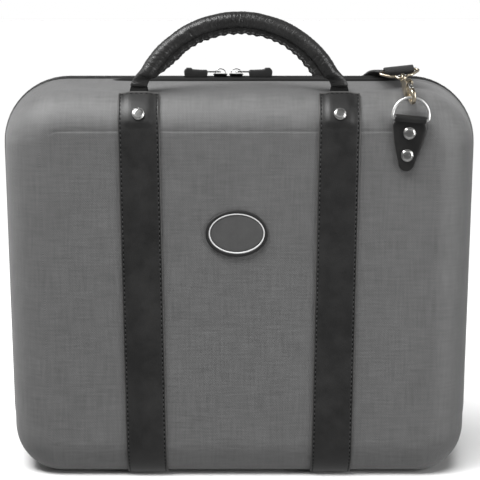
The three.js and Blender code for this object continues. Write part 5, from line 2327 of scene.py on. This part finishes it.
@dataclass
class ShoulderStrap:
    """Webbing from the front clip over the top and down the rear face to the rear clip."""

    width: float = 25.5
    ply: float = 1.15
    wall: float = 1.9
    eye: float = 3.9
    fold_length: float = 20.0
    box_start: float = 6.6
    box_inset: float = 3.0
    keeper_half: float = 8.0
    keeper_room: float = 0.6
    keeper_wall: float = 2.2
    steps: int = 260
    samples: int = 1200
    route: tuple[tuple[float, float, float, float], ...] = (
        (0.631, -0.31, 1.018, 0), (0.612, 0.02, 1.0125, 0), (0.595, 0.41, 0.9965, 0), (0.582, 0.73, 0.981, 0),
        (0.577, 0.99, 0.941, 0), (0.5735, 1.125, 0.9, 0), (0.5728, 1.165, 0.86, 0), (0.5728, 1.165, 0.82, 0),
        (0.5728, 1.165, 0.6, 0), (0.5728, 1.165, 0.565, 0), (0.563, 1.2, 0.49, 45), (0.524, 1.2, 0.395, 90),
        (0.398, 1.2, 0.29, 90), (0.194, 1.2, 0.216, 90), (-0.039, 1.2, 0.194, 90), (-0.272, 1.2, 0.225, 90),
        (-0.485, 1.2, 0.31, 90), (-0.62, 1.2, 0.43, 90), (-0.672, 1.19, 0.537, 45), (-0.6765, 1.18, 0.645, 0),
    )

    def __post_init__(self) -> None:
        """Lays out the route once."""
        self.ends = {side: Clip(side) for side in Side}
        middle = [
            Vector((x * SHAPE.width_top / 2, y * SHAPE.depth, z * SHAPE.height)) for x, y, z, _ in self.route
        ]
        self.places = [self.ends[Side.FRONT].fold, *middle, self.ends[Side.REAR].fold]
        self.twists = [0.0, *(radians(row[3]) for row in self.route), 0.0]
        self.marks = spread(0, 1, self.samples)
        self.run = walked([self.point(t) for t in self.marks])
        self.length = self.run[-1]

    def point(self, t: float) -> Vector:
        """A point of the smooth curve through the places, t from 0 to 1.

        Args:
            t: The share of the curve, 0 to 1.

        Returns:
            The point.
        """
        last = len(self.places) - 1
        at = min(last - 1, int(t * last))
        share = t * last - at
        p1, p2 = self.places[at], self.places[at + 1]
        p0 = self.places[at - 1] if at else p1 * 2 - p2
        p3 = self.places[at + 2] if at + 2 <= last else p2 * 2 - p1
        d0, d1, d2 = ((b - a).length ** 0.5 for a, b in ((p0, p1), (p1, p2), (p2, p3)))
        m1 = ((p1 - p0) / d0 - (p2 - p0) / (d0 + d1) + (p2 - p1) / d1) * d1
        m2 = ((p2 - p1) / d1 - (p3 - p1) / (d1 + d2) + (p3 - p2) / d2) * d1
        s2, s3 = share * share, share**3
        return (
            p1 * (2 * s3 - 3 * s2 + 1) + m1 * (s3 - 2 * s2 + share) + p2 * (3 * s2 - 2 * s3) + m2 * (s3 - s2)
        )

    def frame_at(self, distance: float) -> tuple[Vector, Vector, Vector]:
        """The webbing's middle, its direction across and its direction through, at a distance.

        Args:
            distance: Distance along the strap.

        Returns:
            The middle and the two directions.
        """
        low, high = 0, len(self.run) - 1
        while high - low > 1:
            half = (low + high) // 2
            low, high = (half, high) if self.run[half] <= distance else (low, half)
        share = (distance - self.run[low]) / max(1e-9, self.run[high] - self.run[low])
        t = mix(self.marks[low], self.marks[high], share)
        last = len(self.places) - 1
        at = min(last - 1, int(t * last))
        twist = mix(self.twists[at], self.twists[at + 1], t * last - at)
        nearest = min(distance, self.length - distance)
        end = self.ends[Side.FRONT if distance < self.length / 2 else Side.REAR]
        held = 1 - eased(nearest, self.fold_length / 2, self.fold_length * 2)
        along = (self.point(min(1.0, t + 1e-4)) - self.point(max(0.0, t - 1e-4))).normalized()
        across = Vector((cos(twist), sin(twist), 0)).lerp(end.across, held)
        across = (across - along * across.dot(along)).normalized()
        return self.point(t), across, along.cross(across)

    def ring(self, middle: Vector, across: Vector, through: Vector, wall: float) -> Ring:
        """One section of webbing, with thicker woven edges."""
        half = (self.width / 2 - 0.2, wall / 2)
        return [middle + across * u + through * v for u, v in pillow(half, wall * 0.42, 3)]

    def single(self) -> Form:
        """The one-ply run between the two folds."""
        start, end = self.fold_length + 0.35, self.length - self.fold_length + 0.4
        return Form().loft([self.ring(*self.frame_at(d), self.wall) for d in spread(start, end, self.steps)])

    def folded(self, side: Side) -> Form:
        """The doubled end round a wire loop's bar.

        Args:
            side: Which of its ends.

        Returns:
            The form.
        """
        clip = self.ends[side]
        bar, across = clip.fold, clip.across
        rim = self.eye - self.ply / 2
        offset = self.ply / 2 + 0.06

        def at(back: float) -> float:
            """The distance along the strap for a distance from the bar."""
            return back if side is Side.FRONT else self.length - back

        way = (self.frame_at(at(rim + 2))[0] - bar).normalized()
        through = way.cross(across).normalized()
        path: list[tuple[Vector, Vector]] = []
        for back in spread(self.fold_length - 0.2, 7.2, 10):
            middle, _, normal = self.frame_at(at(back))
            normal = normal if normal.dot(through) > 0 else -normal
            path.append((middle, normal))
        rings: list[Ring] = [self.ring(m + n * offset, across, n, self.ply) for m, n in path]
        for a in spread(0.62, TURN - 0.62, 22):
            spoke = way * cos(a) + through * sin(a)
            rings.append(self.ring(bar + spoke * rim, across, spoke, self.ply))
        rings += [self.ring(m - n * offset, across, -n, self.ply) for m, n in reversed(path)]
        return Form().loft(rings)

    def box_stitch(self, side: Side) -> Form:
        """The boxed cross of stitches that closes the fold, on both faces.

        Args:
            side: Which of its ends.

        Returns:
            The stitches.
        """
        rows = Form()
        half, low, high = self.width / 2 - self.box_inset, self.box_start, self.fold_length - 2.0

        def spot(u: float, back: float, sign: int) -> Spot:
            """A place on one face of the fold.

            Args:
                u: Distance from the strap's middle line.
                back: Distance from the fold.
                sign: Which face.

            Returns:
                The spot.
            """
            distance = back if side is Side.FRONT else self.length - back
            middle, across, through = self.frame_at(distance)
            return middle + across * u + through * (sign * (self.ply + 0.02)), through * sign, Vector()

        for sign in (-1, 1):
            for u0, d0, u1, d1 in (
                (-half, low, half, low), (half, low, half, high), (half, high, -half, high),
                (-half, high, -half, low), (-half, low, half, high), (half, low, -half, high),
            ):
                line = [spot(mix(u0, u1, s), mix(d0, d1, s), sign) for s in spread(0, 1, 8)]
                rows.add(stitches(paced(line, 2.6, 0.4), 1.9, 0.65, 0.2))
        return rows

    def keeper(self) -> Form:
        """The slide on the strap's straight run, an open sleeve with rounded walls.

        Returns:
            The form.
        """
        high, low = (self.places[i + 1] for i in (7, 8))
        middle = (high + low) / 2
        half = (self.width / 2 + self.keeper_room, 1.2 + self.keeper_room)
        outer = (half[0] + self.keeper_wall, half[1] + self.keeper_wall)
        end = self.keeper_half
        edge = ((end, 1.6), (end - 0.4, 0.6), (end - 1.1, 0.1), (end - 1.8, 0.0))
        rings = []
        for z, inset in (*((-z, inset) for z, inset in edge), (0.0, 0.35), *reversed(edge)):
            section = pillow((outer[0] - inset, outer[1] - inset), 2.6, 5)
            rings.append([middle + Vector((x, y, z)) for x, y in section])
        for z in (end, -end):
            rings.append([middle + Vector((x, y, z)) for x, y in pillow(half, 0.8, 5)])
        return Form().loft(rings, looped=True)

    def build(self, bench: Bench) -> None:
        """Puts the strap, its folds, stitches and keeper in the scene.

        Args:
            bench: Where pieces are made.
        """
        bench.put(self.single(), "strap_web", Look.WEBBING, "root", ["shoulder_strap"], 60)
        bench.put(self.folded(Side.REAR), "rear_web_fold", Look.WEBBING, "root", [], 60)
        end = self.folded(Side.FRONT)
        bench.put(end, "front_web_fold", Look.WEBBING, "front_clip", ["front_strap_end"], 60)
        bench.put(self.box_stitch(Side.FRONT), "front_fold_stitches", Look.WEB_THREAD, "front_clip")
        bench.put(self.box_stitch(Side.REAR), "rear_fold_stitches", Look.WEB_THREAD, "root")
        bench.put(self.keeper(), "strap_keeper", Look.CHAMPAGNE, "slide", ["strap_slide"], 50)
        LOG.info("shoulder strap: %.0f mm between its folds", self.length)


# ---- zip sliders


@dataclass
class Slider:
    """A zip slider with its bridge, wire link and moulded puller."""

    hand: Hand
    left_x: float = -16.4
    right_x: float = -2.6
    length: float = 12.4
    width: float = 9.0
    plate: float = 1.7
    leaf: float = 0.95
    flange: float = 1.6
    base: float = 336.5
    bridge_half: float = 5.0
    bridge_height: float = 4.0
    link_wire: float = 0.6
    link_half: float = 2.6
    link_length: float = 14.0
    pull_start: float = 11.0
    pull_length: float = 20.6
    pull_width: float = 8.0
    pull_wall: float = 4.9
    skirt: float = 1.9
    nub_start: float = 24.9
    nub_length: float = 5.0
    nub_height: float = 1.1

    @property
    def x(self) -> float:
        """The slider's place on the zip."""
        return self.left_x if self.hand is Hand.LEFT else self.right_x

    def body(self) -> Form:
        """The plate, waisted, with its flange.

        Returns:
            The form.
        """
        half, wide = self.length / 2, self.width / 2
        rings = []
        for rise, inset in ((0.0, 0.25), (0.25, 0.0), (self.leaf - 0.3, 0.0), (self.leaf, 0.4)):
            ring = []
            for x, y in pillow((half - inset, wide - inset), 2.2, 6):
                waist = 1 - 0.12 * (1 - min(1.0, abs(x) / half)) if abs(y) > 2 else 1.0
                ring.append(Vector((x, y * waist, self.base + rise)))
            rings.append(ring)
        form = Form().loft(rings)
        heights = (self.base - self.flange, self.base + 0.6)
        return form.add(soft_block((0.6 - half, half - 0.6), (wide - self.flange, wide - 0.1), heights, 0.4))

    def bridge(self) -> Form:
        """The bent bridge that the link runs through.

        Returns:
            The form.
        """
        reach, foot, crown = self.bridge_half - 0.5, self.base + self.leaf - 0.3, self.base + self.plate + 0.2
        path = [(reach, foot), *[
            (reach * cos(a), crown + (self.bridge_height - 0.8) * sin(a))
            for a in spread(0.12, pi - 0.12, 20)
        ], (-reach, foot)]
        strap = []
        points = [Vector((x, 0, z)) for x, z in path]
        for i, point in enumerate(points):
            way = (points[min(len(points) - 1, i + 1)] - points[max(0, i - 1)]).normalized()
            side = way.cross(Y)
            strap.append([point + side * u + Vector((0, v, 0)) for u, v in pillow((0.38, 0.9), 0.34, 3)])
        return Form().loft(strap)

    def link(self) -> Form:
        """The wire link through the bridge.

        Returns:
            The form.
        """
        path = rounded([
            (0.0, -self.link_half), (self.link_length, -self.link_half),
            (self.link_length, self.link_half), (0.0, self.link_half),
        ], 1.6, 5)
        z = self.base + self.plate + 0.3 + self.link_wire
        wire = flat_wire(path, self.link_wire, 12)
        return wire.moved(Matrix.Rotation(QUARTER, 4, "X"), Matrix.Translation((0, 0, z)))

    def tab(self) -> Form:
        """The moulded puller: a rounded grip with ribs and a raised end.

        Returns:
            The form.
        """
        low = self.base + 0.1
        rings = []
        for share in spread(0, 1, 60):
            x = self.pull_start + self.pull_length * share
            ends = sqrt(max(0.02, 1 - max(0.0, 1 - min(share, 1 - share) * self.pull_length / 1.6) ** 2))
            neck = mix(0.93, 1.0, eased(share, 0.0, 0.35))
            rib = 0.22 * max(0.0, sin((x - self.pull_start) * TURN / 2.1)) * (0.18 < share < 0.62)
            over = x - self.nub_start
            past = eased(over, self.nub_length - 0.5, self.nub_length + 0.4)
            nub = self.nub_height * eased(over, -0.5, 0.5) * (1 - past)
            thick = self.pull_wall * mix(0.86, 1.0, eased(share, 0.1, 0.9))
            half = (self.pull_width / 2 * neck * mix(0.75, 1.0, ends), (thick + nub - rib) / 2 * ends)
            middle = Vector((x, 0, low + thick / 2 + nub / 2 - rib / 2))
            w, h = half
            top = [(u, v) for u, v in pillow(half, 1.1, 4) if v > 0]
            hem = -h - self.skirt * ends
            foot = [(-w, -h), (-w + 0.12, hem), (-w + 0.7, hem), (-w + 0.85, -h)]
            under = foot + [(-u, v) for u, v in reversed(foot)]
            rings.append([middle + Vector((0, u, v)) for u, v in top + under])
        return Form().loft(rings)

    def build(self, bench: Bench) -> None:
        """Puts the slider and its puller in the scene.

        Args:
            bench: Where pieces are made.
        """
        word = self.hand.word
        place = Matrix.Translation((self.x, 0, 0))
        turn = Matrix.Rotation(pi if self.hand is Hand.LEFT else 0.0, 4, "Z")
        slider, puller = f"slider_{word}", f"puller_{word}"
        for form, name, look, body, nodes, sharp in (
            (self.body(), "slider_plate", Look.PLATE, slider, [f"zip_slider_{word}"], 50),
            (self.bridge(), "slider_bridge", Look.NICKEL, slider, [], 50),
            (self.link().moved(turn), "puller_wire", Look.NICKEL, puller, [f"pull_link_{word}"], SHARP),
            (self.tab().moved(turn), "puller_grip", Look.PULL, puller, [f"pull_tab_{word}"], 50),
        ):
            bench.put(form.moved(place), f"{name}_{word}", look, body, nodes, sharp)


# ---- badge


@dataclass
class Badge:
    """A blank oval rubber badge with a raised border and a pale bead."""

    x: float = -2.0
    z: float = 209.0
    half_width: float = 26.0
    half_height: float = 19.5
    field_wall: float = 1.6
    rim_wall: float = 2.4

    def oval(self, inset: float, height: float) -> Ring:
        """One line round the badge, at a height over its back.

        Args:
            inset: Distance inside the badge's edge.
            height: Height over its back.

        Returns:
            The line's points.
        """
        back = -SHAPE.depth - 0.3
        w, h = self.half_width - inset, self.half_height - inset
        return [
            Vector((self.x + w * cos(a), back - height, self.z + h * sin(a)))
            for a in around(72)
        ]

    def base(self) -> Form:
        """The dark base with its raised border.

        Returns:
            The form.
        """
        rows = [(0.4, 0.0), (0.0, 0.3), (0.0, 1.5), (0.2, 2.1), (0.6, 2.35), (1.0, self.rim_wall)]
        rows += [(2.2, self.rim_wall), (2.55, 2.3), (2.75, 1.9), (3.9, 1.45), (8.0, 1.4), (17.0, 1.4)]
        return Form().loft([self.oval(*row) for row in rows])

    def rim(self) -> Form:
        """The pale bead inside the border."""
        rows = [(2.7, 1.5), (2.72, 2.1), (2.95, 2.3), (3.55, 2.3), (3.8, 2.05), (3.85, 1.5)]
        return Form().loft([self.oval(*row) for row in rows], looped=True)

    def panel(self) -> Form:
        """The plain field, slightly crowned."""
        rows = [(3.8, 1.42), (3.95, self.field_wall), (6.0, 1.66), (11.0, 1.74), (17.0, 1.78)]
        return Form().loft([self.oval(*row) for row in rows])

    def build(self, bench: Bench) -> None:
        """Puts the badge in the scene.

        Args:
            bench: Where pieces are made.
        """
        bench.put(self.base(), "badge_base", Look.BADGE, "front", ["badge"], 50)
        bench.put(self.rim(), "badge_bead", Look.RIM, "front", [], 50)
        bench.put(self.panel(), "badge_field", Look.FIELD, "front", [], 50)


# ---- studio


@dataclass
class Studio:
    """A plain pale floor, soft lights and the camera of the photograph."""

    distance: float = 1.4359
    height: float = 0.3928
    pitch: float = radians(8)
    lens: float = 123.0
    overhead: float = 7.2
    overhead_rise: float = 75.0
    overhead_spread: float = 46.0
    key: float = 26.5
    left: float = 5.0
    right: float = 19.0
    room: float = 0.24
    mirror: float = 0.85
    sensor: float = 36.0
    shift: float = 0.0017
    reach: float = 60000.0
    reflected: tuple[Place, ...] = (
        (0.0, 0.75), (0.25, 0.4), (0.44, 0.12), (0.53, 0.16),
        (0.64, 0.5), (0.74, 0.62), (0.82, 0.15), (1.0, 0.1),
    )

    def panel(self, name: str, place: Vector, aim: Vector, size: Place, power: float) -> None:
        """Adds one soft panel.

        Args:
            name: Its name.
            place: Where it stands.
            aim: What it points at.
            size: Its width and height.
            power: Its power in watts.
        """
        lamp = bpy.data.lights.new(name, "AREA")
        lamp.shape, lamp.size, lamp.size_y, lamp.energy = "RECTANGLE", size[0], size[1], power
        self.hang(name, lamp, place, aim)

    def hang(self, name: str, lamp: bpy.types.Light, place: Vector, aim: Vector) -> bpy.types.Object:
        """Puts a lamp at a place, pointing at its aim.

        Args:
            name: Its name.
            lamp: The lamp.
            place: Where it stands.
            aim: What it points at.

        Returns:
            The lamp's object.
        """
        made = bpy.data.objects.new(name, lamp)
        made.location = place
        made.rotation_euler = (aim - place).to_track_quat("-Z", "Y").to_euler()
        bpy.context.scene.collection.objects.link(made)
        return made

    def lamps(self) -> None:
        """Hangs a broad soft light overhead and panels at the sides."""
        aim = Vector((0, 0, 0.18))
        broad = bpy.data.lights.new("overhead_light", "SUN")
        broad.energy, broad.angle = self.overhead, radians(self.overhead_spread)
        rise = radians(self.overhead_rise)
        broad_lamp = self.hang(
            "overhead_light", broad, aim + Vector((-0.08, -cos(rise), sin(rise))) * 3.0, aim
        )
        broad_lamp.visible_glossy = False
        self.panel("key_panel", Vector((-0.68, -0.48, 1.3)), Vector((-0.06, 0, 0.36)), (0.8, 0.5), self.key)
        self.panel("left_panel", Vector((-1.4, 0.32, 0.62)), aim, (0.4, 1.1), self.left)
        self.panel("right_panel", Vector((1.3, -0.85, 0.5)), aim, (0.5, 1.1), self.right)

    def surround(self) -> None:
        """White behind the bag, and a softer room that the fittings reflect."""
        world = bpy.data.worlds.new("studio")
        bpy.context.scene.world = world
        world.use_nodes = True
        sky = Mixing(world.node_tree, "OUTPUT_WORLD")
        _, _, height = sky.split(sky.node("ShaderNodeTexCoord", out="Generated"))
        room = sky.steps(height * 0.5 + 0.5, *self.reflected)
        glossy = sky.node("ShaderNodeLightPath", out="Is Glossy Ray")
        seen = sky.node("ShaderNodeLightPath", out="Is Camera Ray")
        strength = glossy * (self.mirror - self.room) + self.room
        felt = sky.node("ShaderNodeBackground", feeds={0: room, 1: strength})
        white = sky.node("ShaderNodeBackground", feeds={0: (1, 1, 1, 1), 1: 1.0})
        sky.feed(Surface=sky.node("ShaderNodeMixShader", feeds={0: seen, 1: felt, 2: white}))

    def build(self, bench: Bench) -> None:
        """Sets up the studio.

        Args:
            bench: Where pieces are made.
        """
        scene = bpy.context.scene
        scene.view_settings.view_transform = "Standard"
        corners = ((-1, -1), (1, -1), (1, 1), (-1, 1))
        floor = Form().loft([
            [Vector((x * self.reach, y * self.reach, z)) for x, y in corners] for z in (-12.0, -0.05)
        ])
        bench.stage(floor, "studio_floor", Look.FLOOR)
        self.lamps()
        self.surround()
        camera = bpy.data.cameras.new("camera")
        camera.lens, camera.sensor_width, camera.shift_x = self.lens, self.sensor, self.shift
        camera.clip_start, camera.clip_end = 0.05, 200.0
        made = bpy.data.objects.new("camera", camera)
        made.location = (0, -self.distance, self.height)
        made.rotation_euler = (QUARTER - self.pitch, 0, 0)
        scene.collection.objects.link(made)
        scene.camera = made


def main() -> None:
    """Builds every sub-assembly in order."""
    logging.basicConfig(level=logging.INFO, format="%(name)s %(message)s")
    bench = Bench()
    parts: list[object] = [Studio()]
    for side in Side:
        parts += [Shell(side), Zip(side), FaceStrap(side, Hand.LEFT), FaceStrap(side, Hand.RIGHT)]
        parts += [Handle(side), RingFitting(side), Clip(side)]
    parts += [BottomHinge(), ShoulderStrap(), Slider(Hand.LEFT), Slider(Hand.RIGHT), Badge()]
    for part in parts:
        part.build(bench)
    LOG.info("%d pieces in all", bench.count)


if __name__ == "__main__":
    main()
